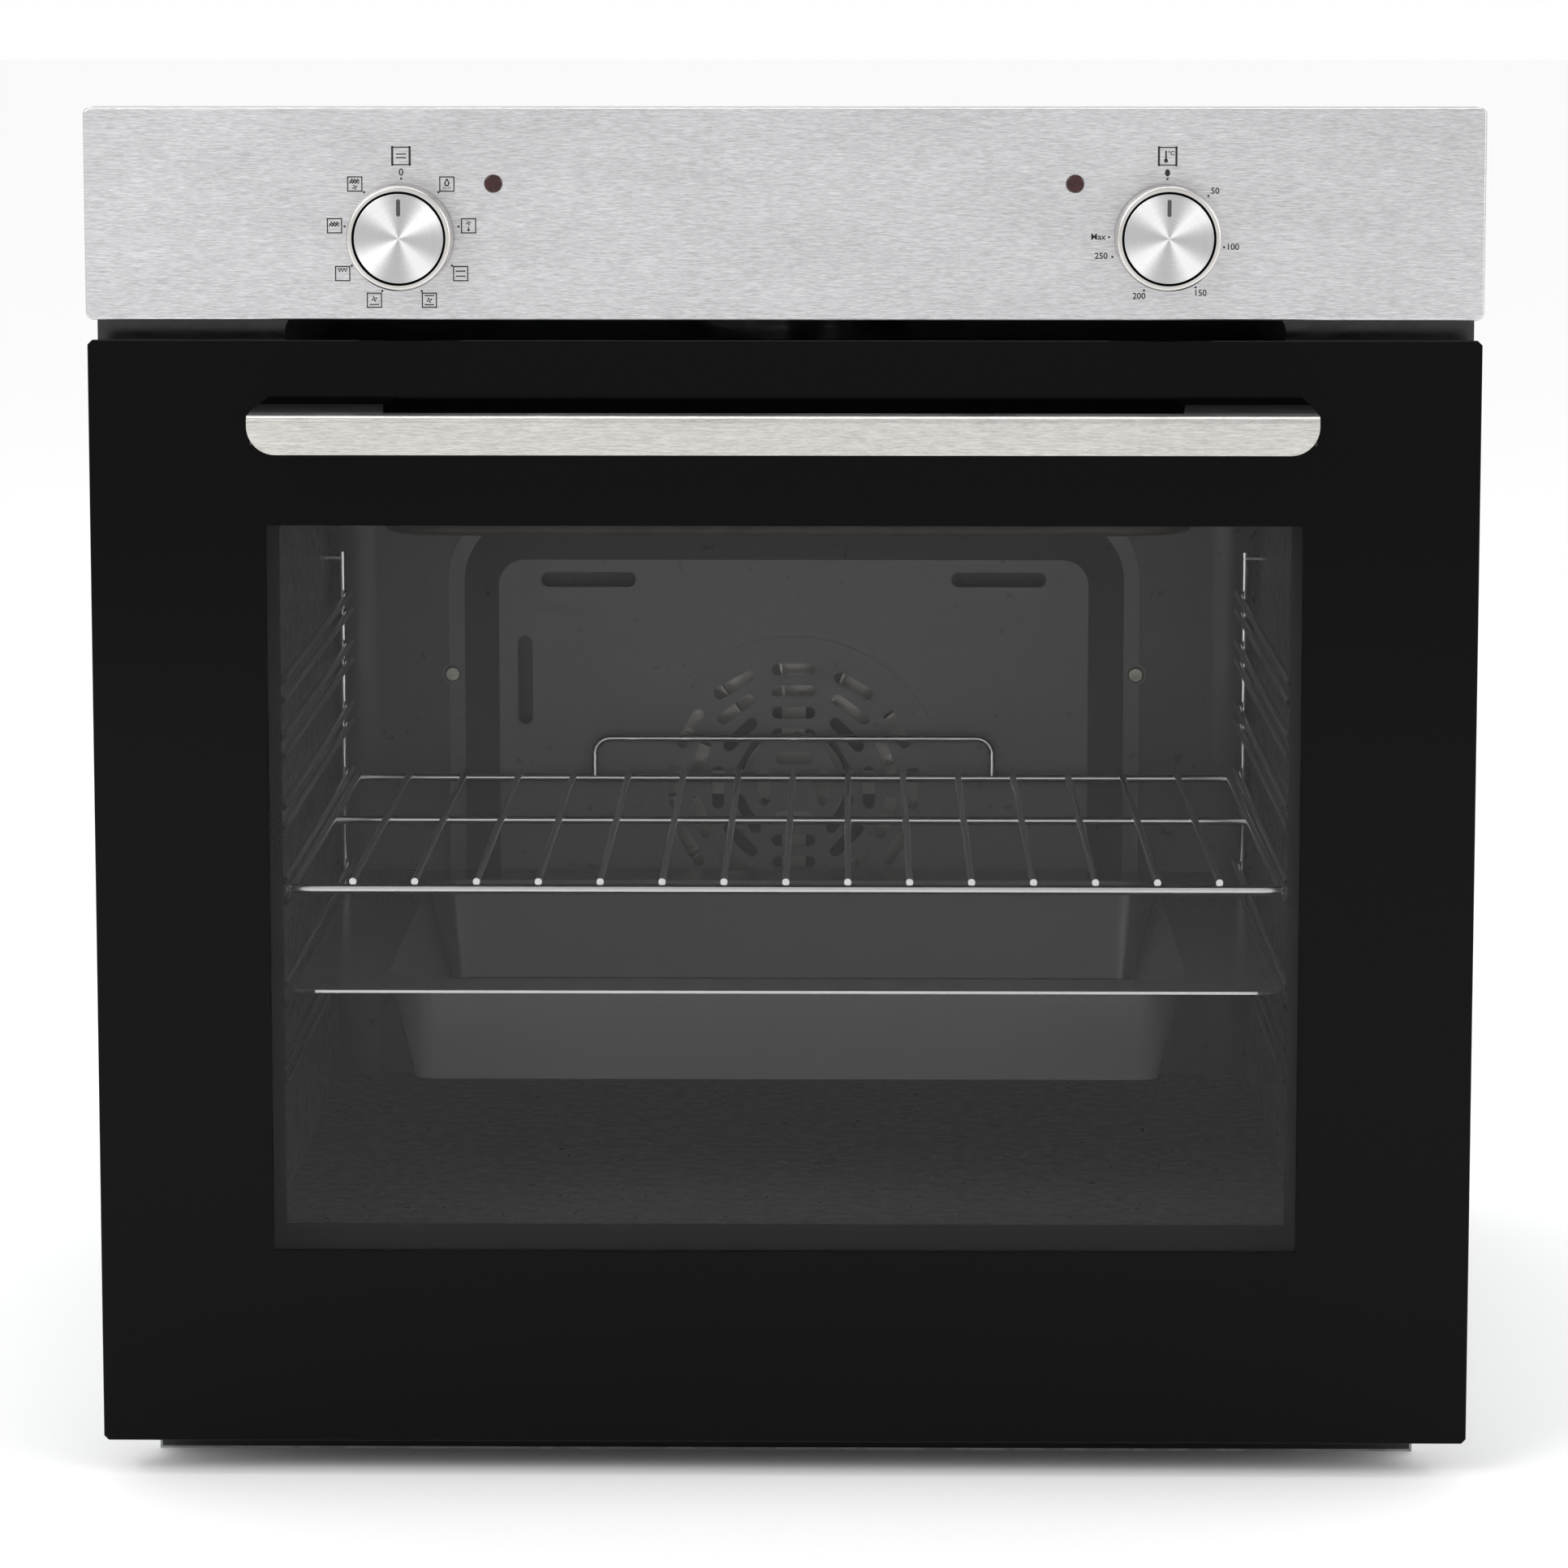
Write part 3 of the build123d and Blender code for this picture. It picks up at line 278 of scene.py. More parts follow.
@dataclass(frozen=True)
class TurnedMetal(Finish):
    """Metal faced on a lathe: rings too fine to tell apart spread its reflections round the axis, and a cross
    of four bright highlights is painted into its colour.
    """

    knob: str = "function_knob"
    dark: str = "b4b4b5"
    pale: str = "f2f2f3"
    roughness: float = 0.3
    spin_anisotropy: float = 0.75
    ring_mm: float = 0.45
    ring_share: float = 0.22
    # How strong, how turned and how sharp the painted highlights are.
    highlight_strength: float = 1.0
    highlight_lean: float = 0.25
    highlight_sharpness: float = 3.2
    # The radii and colour of a ring of painted shade in the gap round the cap.
    gap_inner_mm: float = 0.0
    gap_outer_mm: float = 0.0
    gap_painted_shade: str = "0c0c0c"
    # The cap part, and a painted shade on all of its face deeper than its front by groove_start_mm: the
    # groove's floor and walls and the cap's rounded edge.
    groove_node: str = ""
    groove_start_mm: float = 0.2
    groove_painted_shade: str = "5c5c5c"

    def dress(self, coat: Coat) -> None:
        """The colour carries painted highlights that follow the angle round the knob's axis, crossed with faint
        rings that follow the radius.

        Args:
            coat: The material being made.
        """
        tree = coat.tree
        low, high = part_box(self.knob)
        middle = (low + high) / 2
        centring = {"Vector": coat.place, "Location": (-middle.x, 0, -middle.z)}
        centred = add_node(tree, "ShaderNodeMapping", centring).outputs[0]
        split = add_node(tree, "ShaderNodeSeparateXYZ", {"Vector": centred})
        across, depth, up = split.outputs
        radius = self.radius(tree, across, up)
        turned = add_node(tree, "ShaderNodeMath", {0: radius, 1: self.ring_mm * MM}, operation="DIVIDE")
        cut = {"W": turned.outputs[0], "Scale": 1.0}
        rings = add_node(tree, "ShaderNodeTexNoise", cut, noise_dimensions="1D").outputs["Fac"]
        faint = add_node(tree, "ShaderNodeMath", {0: rings, 1: self.ring_share}, operation="MULTIPLY")
        # Painted highlights round the axis plus faint turning rings make the colour's pattern.
        both = {0: self.painted_highlights(tree, across, up), 1: faint.outputs[0]}
        tone = add_node(tree, "ShaderNodeMath", both, operation="ADD").outputs[0]
        colour = coat.colour_between(tone, self.dark, self.pale, 0.0, 1.0)
        # Paints shade into the ring of the gap between cap and rim.
        if self.gap_outer_mm:
            colour = coat.paint_over(colour, self.painted_gap_shade_mask(tree, radius), self.gap_painted_shade)
        # Paints shade on all that lies deeper than the cap's front: the groove's floor and walls and the cap's
        # rounded edge.
        if self.groove_node:
            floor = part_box(self.groove_node)[0].y + self.groove_start_mm * MM
            groove_shade_mask = add_node(tree, "ShaderNodeMath", {0: depth, 1: floor}, operation="GREATER_THAN")
            coat.paint_over(colour, groove_shade_mask.outputs[0], self.groove_painted_shade)
        coat.shader.inputs["Metallic"].default_value = 1.0
        coat.shader.inputs["Anisotropic"].default_value = self.spin_anisotropy
        tangent = add_node(tree, "ShaderNodeTangent", direction_type="RADIAL", axis="Y")
        tree.links.new(tangent.outputs[0], coat.shader.inputs["Tangent"])
        coat.roughen(rings, self.roughness - 0.04, self.roughness + 0.05)

    def painted_highlights(
        self, tree: bpy.types.NodeTree, across: bpy.types.NodeSocket, up: bpy.types.NodeSocket
    ) -> bpy.types.NodeSocket:
        """Four painted highlights round the axis, as the sine of twice the angle gives them.

        Args:
            tree: The material's node tree.
            across: X from the axis.
            up: Z from the axis.

        Returns:
            The painted highlights' brightness.
        """
        angle = add_node(tree, "ShaderNodeMath", {0: up, 1: across}, operation="ARCTAN2").outputs[0]
        doubled = add_node(tree, "ShaderNodeMath", {0: angle, 1: 2.0}, operation="MULTIPLY").outputs[0]
        leaned = add_node(tree, "ShaderNodeMath", {0: doubled, 1: self.highlight_lean}, operation="ADD").outputs[0]
        wave = add_node(tree, "ShaderNodeMath", {0: leaned}, operation="SINE").outputs[0]
        lobes = add_node(tree, "ShaderNodeMath", {0: wave}, operation="ABSOLUTE").outputs[0]
        sharp = add_node(tree, "ShaderNodeMath", {0: lobes, 1: self.highlight_sharpness}, operation="POWER")
        inputs = {0: sharp.outputs[0], 1: self.highlight_strength}
        return add_node(tree, "ShaderNodeMath", inputs, operation="MULTIPLY").outputs[0]

    @staticmethod
    def radius(
        tree: bpy.types.NodeTree, across: bpy.types.NodeSocket, up: bpy.types.NodeSocket
    ) -> bpy.types.NodeSocket:
        """The distance from the knob's axis.

        Args:
            tree: The material's node tree.
            across: X from the axis.
            up: Z from the axis.

        Returns:
            The distance, in metres.
        """
        square_x = add_node(tree, "ShaderNodeMath", {0: across, 1: across}, operation="MULTIPLY").outputs[0]
        square_z = add_node(tree, "ShaderNodeMath", {0: up, 1: up}, operation="MULTIPLY").outputs[0]
        total = add_node(tree, "ShaderNodeMath", {0: square_x, 1: square_z}, operation="ADD").outputs[0]
        return add_node(tree, "ShaderNodeMath", {0: total}, operation="SQRT").outputs[0]

    def painted_gap_shade_mask(self, tree: bpy.types.NodeTree, radius: bpy.types.NodeSocket) -> bpy.types.NodeSocket:
        """Finds the ring of painted shade in the gap between the knob's cap and its rim.

        Args:
            tree: The material's node tree.
            radius: The distance from the axis.

        Returns:
            1 in the ring and 0 elsewhere.
        """
        inner, outer = self.gap_inner_mm * MM, self.gap_outer_mm * MM
        past = add_node(tree, "ShaderNodeMath", {0: radius, 1: inner}, operation="GREATER_THAN").outputs[0]
        short = add_node(tree, "ShaderNodeMath", {0: radius, 1: outer}, operation="LESS_THAN").outputs[0]
        return add_node(tree, "ShaderNodeMath", {0: past, 1: short}, operation="MULTIPLY").outputs[0]


@dataclass(frozen=True)
class PlatedMetal(Finish):
    """Plated or polished metal: smooth, with slight waviness and a few dull spots."""

    shade: str = "c9c9cb"
    roughness: float = 0.12
    wave_mm: float = 14.0
    wave_depth_mm: float = 0.03

    def dress(self, coat: Coat) -> None:
        """Roughness drifts over a few millimetres, as plating does over drawn wire.

        Args:
            coat: The material being made.
        """
        coat.shader.inputs["Metallic"].default_value = 1.0
        coat.shader.inputs["Base Color"].default_value = linear(self.shade)
        drift = coat.grains((self.wave_mm,) * 3, 3.0)
        coat.roughen(drift, self.roughness * 0.7, self.roughness * 1.5)
        coat.relief(drift, self.wave_depth_mm, 0.15)


@dataclass(frozen=True)
class ZincSheet(Finish):
    """Hot-dip zinc on steel sheet: pale grey metal with flat crystal patches, called spangle."""

    dark: str = "9a9d9f"
    pale: str = "b1b4b6"
    spangle_mm: float = 8.0
    rolling_mm: tuple[float, float, float] = (40.0, 40.0, 1.2)
    roughness: float = 0.42

    def dress(self, coat: Coat) -> None:
        """Voronoi cells of spangle size give each crystal its own tone and dullness.

        Args:
            coat: The material being made.
        """
        inputs = {"Vector": coat.place, "Scale": 1.0 / (self.spangle_mm * MM)}
        cells = add_node(coat.tree, "ShaderNodeTexVoronoi", inputs, feature="F1")
        random_colour = {"Color": cells.outputs["Color"]}
        crystal = add_node(coat.tree, "ShaderNodeSeparateColor", random_colour).outputs[0]
        rolled = coat.grains(self.rolling_mm)
        both = {0: crystal, 1: rolled}
        sheet = add_node(coat.tree, "ShaderNodeMath", both, operation="MULTIPLY").outputs[0]
        coat.shader.inputs["Metallic"].default_value = 1.0
        coat.colour_between(sheet, self.dark, self.pale, 0.05, 0.6)
        coat.roughen(crystal, self.roughness - 0.07, self.roughness + 0.1, 0.0, 1.0)


@dataclass(frozen=True)
class VitreousEnamel(Finish):
    """Glass fired on steel: dark and glossy, a little orange-peeled, with fine pale specks."""

    base: str = "2c2c2c"
    speck: str = "6e6e6e"
    speck_mm: float = 1.1
    speck_start: float = 0.68
    speck_edge: float = 0.05
    roughness: float = 0.2
    peel_mm: float = 6.0
    peel_depth_mm: float = 0.04
    glass_ior: float = 1.52

    def dress(self, coat: Coat) -> None:
        """Specks are small noise peaks; the peel is a shallow bump some millimetres wide.

        Args:
            coat: The material being made.
        """
        self.enamel(coat)

    def enamel(self, coat: Coat) -> bpy.types.NodeSocket:
        """Lays the enamel on the shader.

        Args:
            coat: The material being made.

        Returns:
            The enamel's colour.
        """
        dots = coat.grains((self.speck_mm,) * 3, 1.0)
        full = self.speck_start + self.speck_edge
        colour = coat.colour_between(dots, self.base, self.speck, self.speck_start, full)
        peel = coat.grains((self.peel_mm,) * 3)
        coat.roughen(peel, self.roughness * 0.8, self.roughness * 1.3)
        coat.relief(peel, self.peel_depth_mm, 0.2)
        coat.shader.inputs["IOR"].default_value = self.glass_ior
        return colour


@dataclass(frozen=True)
class EnamelWithPaintedRimHighlight(VitreousEnamel):
    """Enamel whose upper front edge is painted pale as a highlight on the tray's rim, and made metallic like
    bare steel.
    """

    node: str = "baking_tray"
    edge_mm: float = 1.3
    rim_highlight_shade: str = "d8d8d8"

    def dress(self, coat: Coat) -> None:
        """Along the edge the colour turns pale as a painted highlight, and the metalness turns to that of bare
        steel.

        Args:
            coat: The material being made.
        """
        colour = self.enamel(coat)
        low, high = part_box(self.node)
        top, front = high.z - self.edge_mm * MM, low.y + self.edge_mm * MM
        split = add_node(coat.tree, "ShaderNodeSeparateXYZ", {"Vector": coat.place})
        _, depth, height = split.outputs
        above = add_node(coat.tree, "ShaderNodeMath", {0: height, 1: top}, operation="GREATER_THAN")
        near = add_node(coat.tree, "ShaderNodeMath", {0: depth, 1: front}, operation="LESS_THAN")
        inputs = {0: above.outputs[0], 1: near.outputs[0]}
        edge = add_node(coat.tree, "ShaderNodeMath", inputs, operation="MULTIPLY").outputs[0]
        # Paints the rim's highlight into the colour along the top front edge.
        coat.paint_over(colour, edge, self.rim_highlight_shade)
        coat.tree.links.new(edge, coat.shader.inputs["Metallic"])


@dataclass(frozen=True)
class MouldedPlastic(Finish):
    """Injection-moulded or phenolic plastic with a fine spark-eroded grain."""

    shade: str = "141414"
    roughness: float = 0.45
    grain_mm: float = 0.6
    grain_depth_mm: float = 0.03
    cloud_mm: float = 22.0
    ior: float = 1.5

    def dress(self, coat: Coat) -> None:
        """The grain is drawn at over half a millimetre, coarser than real, so that it shows.

        Args:
            coat: The material being made.
        """
        grain = coat.grains((self.grain_mm,) * 3)
        cloud = coat.grains((self.cloud_mm,) * 3)
        coat.shader.inputs["Base Color"].default_value = linear(self.shade)
        coat.shader.inputs["IOR"].default_value = self.ior
        coat.roughen(cloud, self.roughness - 0.04, self.roughness + 0.06)
        coat.relief(grain, self.grain_depth_mm, 0.4)


@dataclass(frozen=True)
class HeatedSteel(Finish):
    """Steel that has been hot: brown-black oxide, uneven and nearly matt."""

    dark: str = "1d1a19"
    pale: str = "4a423c"
    roughness: float = 0.5
    tint_mm: float = 25.0
    bare_share: float = 0.7

    def dress(self, coat: Coat) -> None:
        """Oxide tints drift over some centimetres.

        Args:
            coat: The material being made.
        """
        tint = coat.grains((self.tint_mm,) * 3, 4.0)
        coat.shader.inputs["Metallic"].default_value = self.bare_share
        coat.colour_between(tint, self.dark, self.pale)
        coat.roughen(tint, self.roughness - 0.1, self.roughness + 0.15)


@dataclass(frozen=True)
class MineralWool(Finish):
    """Rock wool: matted brown-yellow fibre, fully matt."""

    dark: str = "8d7f58"
    pale: str = "cdbf95"
    tuft_mm: tuple[float, float, float] = (7.0, 7.0, 2.5)
    tuft_depth_mm: float = 1.5

    def dress(self, coat: Coat) -> None:
        """Tufts a few millimetres long with finer fibre between.

        Args:
            coat: The material being made.
        """
        tuft = coat.grains(self.tuft_mm, 6.0, 0.7)
        coat.colour_between(tuft, self.dark, self.pale)
        coat.shader.inputs["Roughness"].default_value = 0.95
        coat.relief(tuft, self.tuft_depth_mm, 0.7)


@dataclass(frozen=True)
class PrintedGlass(Finish):
    """Toughened glass with a fired black print on its back, left clear in a window."""

    window_half_mm: float = 222.0
    window_foot_mm: float = 100.0
    window_top_mm: float = 417.0
    print_shade: str = "030303"
    gloss: float = 0.085
    film_mm: float = 35.0
    pane_ior: float = 1.17
    pane_roughness: float = 0.02
    tint: str = "fafafa"

    def dress(self, coat: Coat) -> None:
        """Black under a smooth low-glare face, and inside the window a clear pane with a faint mirror.

        Args:
            coat: The material being made.
        """
        film = coat.grains((self.film_mm,) * 3, 3.0)
        coat.roughen(film, 0.03, 0.06)
        coat.shader.inputs["Base Color"].default_value = linear(self.print_shade)
        coat.shader.inputs["Specular IOR Level"].default_value = self.gloss
        clear = add_node(coat.tree, "ShaderNodeBsdfTransparent", {"Color": linear(self.tint)})
        shine = add_node(
            coat.tree, "ShaderNodeBsdfGlossy", {"Color": (1, 1, 1, 1), "Roughness": self.pane_roughness}
        )
        glance = add_node(coat.tree, "ShaderNodeFresnel", {"IOR": self.pane_ior})
        layers = {0: glance.outputs[0], 1: clear.outputs[0], 2: shine.outputs[0]}
        pane = add_node(coat.tree, "ShaderNodeMixShader", layers)
        parts = {0: self.window_mask(coat), 1: coat.shader.outputs[0], 2: pane.outputs[0]}
        whole = add_node(coat.tree, "ShaderNodeMixShader", parts)
        coat.tree.links.new(whole.outputs[0], coat.output.inputs["Surface"])

    def window_mask(self, coat: Coat) -> bpy.types.NodeSocket:
        """Finds the clear window from its half width and its two heights.

        Args:
            coat: The material being made.

        Returns:
            1 inside the window and 0 on the print.
        """
        tree = coat.tree
        half_width = self.window_half_mm * MM
        half_height = (self.window_top_mm - self.window_foot_mm) / 2 * MM
        middle = (self.window_foot_mm + self.window_top_mm) / 2 * MM
        across, _, height = add_node(tree, "ShaderNodeSeparateXYZ", {"Vector": coat.place}).outputs
        aside = add_node(tree, "ShaderNodeMath", {0: across}, operation="ABSOLUTE").outputs[0]
        rise = add_node(tree, "ShaderNodeMath", {0: height, 1: middle}, operation="SUBTRACT").outputs[0]
        off = add_node(tree, "ShaderNodeMath", {0: rise}, operation="ABSOLUTE").outputs[0]
        in_width = add_node(tree, "ShaderNodeMath", {0: aside, 1: half_width}, operation="LESS_THAN")
        in_height = add_node(tree, "ShaderNodeMath", {0: off, 1: half_height}, operation="LESS_THAN")
        both = {0: in_width.outputs[0], 1: in_height.outputs[0]}
        return add_node(tree, "ShaderNodeMath", both, operation="MULTIPLY").outputs[0]


@dataclass(frozen=True)
class ClearGlass(Finish):
    """A small blown or pressed glass piece."""

    tint: str = "f4f2ea"
    ripple_mm: float = 9.0
    cover: float = 0.35

    def dress(self, coat: Coat) -> None:
        """A smooth pane with a slight ripple.

        Args:
            coat: The material being made.
        """
        ripple = coat.grains((self.ripple_mm,) * 3, 1.0)
        coat.roughen(ripple, 0.02, 0.08)
        coat.shader.inputs["Base Color"].default_value = linear(self.tint)
        coat.shader.inputs["Alpha"].default_value = self.cover


@dataclass(frozen=True)
class LampRed(Finish):
    """Deep red translucent plastic of a neon pilot lamp, unlit."""

    core: str = "1d0708"
    rim: str = "3b1113"
    cloud_mm: float = 1.6
    acrylic_ior: float = 1.49

    def dress(self, coat: Coat) -> None:
        """Slightly cloudy red with a glossy face.

        Args:
            coat: The material being made.
        """
        cloud = coat.grains((self.cloud_mm,) * 3)
        coat.colour_between(cloud, self.core, self.rim)
        coat.shader.inputs["Roughness"].default_value = 0.16
        coat.shader.inputs["IOR"].default_value = self.acrylic_ior


STAINLESS = BrushedSteel("brushed_stainless_steel")
HANDLE_STEEL = BrushedSteel("brushed_handle_steel", dark="b9b6b2", pale="dfdcd8", roughness=0.3)
KNOBS = ("function", "thermostat")
KNOB_RIMS = {
    side: TurnedMetal(
        f"satin_{side}_knob_rim",
        knob=f"{side}_knob",
        dark="cbc8c5",
        pale="e0dedb",
        roughness=0.26,
        spin_anisotropy=0.3,
        # The rim gets weaker painted highlights than the cap.
        highlight_strength=0.4,
        # Painted shade fills the gap round the cap between these radii.
        gap_inner_mm=18.5,
        gap_outer_mm=19.9,
    )
    for side in KNOBS
}
KNOB_FACES = {
    side: TurnedMetal(f"spun_{side}_cap_aluminium", knob=f"{side}_knob", groove_node=f"{side}_knob_cap")
    for side in KNOBS
}
CHROME_WIRE = PlatedMetal("chromed_wire", shade="d2d2d4", roughness=0.1)
ZINC = ZincSheet("galvanised_sheet")
ZINC_PART = PlatedMetal("zinc_plated_steel", shade="a8a69c", roughness=0.32, wave_mm=5.0)
CAVITY_ENAMEL = VitreousEnamel("cavity_vitreous_enamel", base="535353", speck="626262", roughness=0.34)
BAFFLE_ENAMEL = VitreousEnamel("baffle_vitreous_enamel", base="777777", speck="858585", roughness=0.34)
FRAME_ENAMEL = VitreousEnamel("frame_black_enamel", base="191919", speck="222222", roughness=0.16)
TRAY_ENAMEL = EnamelWithPaintedRimHighlight("tray_dark_enamel", base="575757", speck="646464", roughness=0.2)
BLACK_PLASTIC = MouldedPlastic("black_moulded_plastic", shade="121212")
PHENOLIC = MouldedPlastic("brown_phenolic", shade="3a2519", roughness=0.5)
BLACK_PAINT = MouldedPlastic("black_powder_coat", shade="0e0e0f", roughness=0.4, grain_mm=1.2)
SILICONE = MouldedPlastic("black_silicone_rubber", shade="151515", roughness=0.62, grain_mm=0.9, ior=1.41)
STEATITE = MouldedPlastic("steatite_ceramic", shade="d9d5c9", roughness=0.6, grain_mm=0.5)
MOTOR_IRON = HeatedSteel("motor_laminations", dark="3b3b3c", pale="6d6c6a", roughness=0.42)
HEAT_TUBE = HeatedSteel("heating_tube")
FAN_SHEET = PlatedMetal("pressed_fan_aluminium", shade="9d9a94", roughness=0.36, wave_mm=9.0)
ROCK_WOOL = MineralWool("rock_wool")
DOOR_GLASS = PrintedGlass("black_printed_door_glass")
INNER_PANE = PrintedGlass(
    "grey_printed_inner_glass",
    window_half_mm=219.0,
    window_foot_mm=105.6,
    window_top_mm=420.0,
    print_shade="262626",
)
LENS_GLASS = ClearGlass("borosilicate_lens")
PILOT_RED = LampRed("red_lamp_plastic")
DIAL_INK = MouldedPlastic("black_dial_ink", shade="101010", roughness=0.5, grain_mm=0.3)


NODE_FINISHES: dict[str, Finish] = {
    "control_fascia": STAINLESS,
    "handle_bar": HANDLE_STEEL,
    **{f"{side}_knob": finish for side, finish in KNOB_RIMS.items()},
    **{f"{side}_knob_cap": finish for side, finish in KNOB_FACES.items()},
    "pilot_lamp_left": PILOT_RED,
    "pilot_lamp_right": PILOT_RED,
    "outer_glass": DOOR_GLASS,
    "inner_glass": INNER_PANE,
    "handle_post_left": BLACK_PLASTIC,
    "handle_post_right": BLACK_PLASTIC,
    "door_column_left": BLACK_PAINT,
    "door_column_right": BLACK_PAINT,
    "door_top_trim": BLACK_PAINT,
    "door_bottom_trim": BLACK_PAINT,
    "front_frame": FRAME_ENAMEL,
    "cavity_shell": CAVITY_ENAMEL,
    "fan_baffle": BAFFLE_ENAMEL,
    "baking_tray": TRAY_ENAMEL,
    "wire_shelf": CHROME_WIRE,
    "runners_left": CHROME_WIRE,
    "runners_right": CHROME_WIRE,
    "insulation": ROCK_WOOL,
    "door_seal": SILICONE,
    "function_selector": PHENOLIC,
    "thermostat": PHENOLIC,
    "terminal_block": BLACK_PLASTIC,
    "blower_wheel": BLACK_PLASTIC,
    "blower_motor": MOTOR_IRON,
    "fan_motor": MOTOR_IRON,
    "circulation_fan": FAN_SHEET,
    "grill_element": HEAT_TUBE,
    "bottom_element": HEAT_TUBE,
    "lamp_lens": LENS_GLASS,
    "lamp_holder": STEATITE,
    "chassis_base": ZINC,
    "side_panel_left": ZINC,
    "side_panel_right": ZINC,
    "rear_cover": ZINC,
    "top_cover": ZINC,
    "control_bracket": ZINC,
    "air_duct": ZINC,
    "blower_housing": ZINC,
}


def dress_cad_nodes() -> None:
    """Gives every carried-over CAD node its finish; small hardware is zinc-plated."""
    for name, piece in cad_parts.items():
        finish = NODE_FINISHES.get(name, ZINC_PART)
        piece.data.materials.clear()
        piece.data.materials.append(finish.material())
        LOG.info("%s: %s", name, finish.name)


# ---------------------------------------------------------------- printed dials


def place_piece(
    name: str, shape: bmesh.types.BMesh, finish: Finish, body: str
) -> bpy.types.Object:
    """Turns a finished bmesh into a piece that rides on a CAD body.

    Args:
        name: The piece's name.
        shape: Its mesh, in row metres; it is freed.
        finish: Its surface finish.
        body: The CAD body that carries it.

    Returns:
        The new object.
    """
    mesh = bpy.data.meshes.new(name)
    shape.to_mesh(mesh)
    shape.free()
    piece = bpy.data.objects.new(name, mesh)
    bpy.context.scene.collection.objects.link(piece)
    mesh.materials.append(finish.material())
    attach(piece, body)
    LOG.info("%s: %d faces on %s", name, len(mesh.polygons), body)
    return piece


class Mark(Enum):
    """The oven functions that have a boxed sign on the dial."""

    LIGHT = "light"
    DEFROST = "defrost"
    STATIC = "static"
    FAN_STATIC = "fan_static"
    FAN_BASE = "fan_base"
    SMALL_GRILL = "small_grill"
    GRILL = "grill"
    FAN_GRILL = "fan_grill"


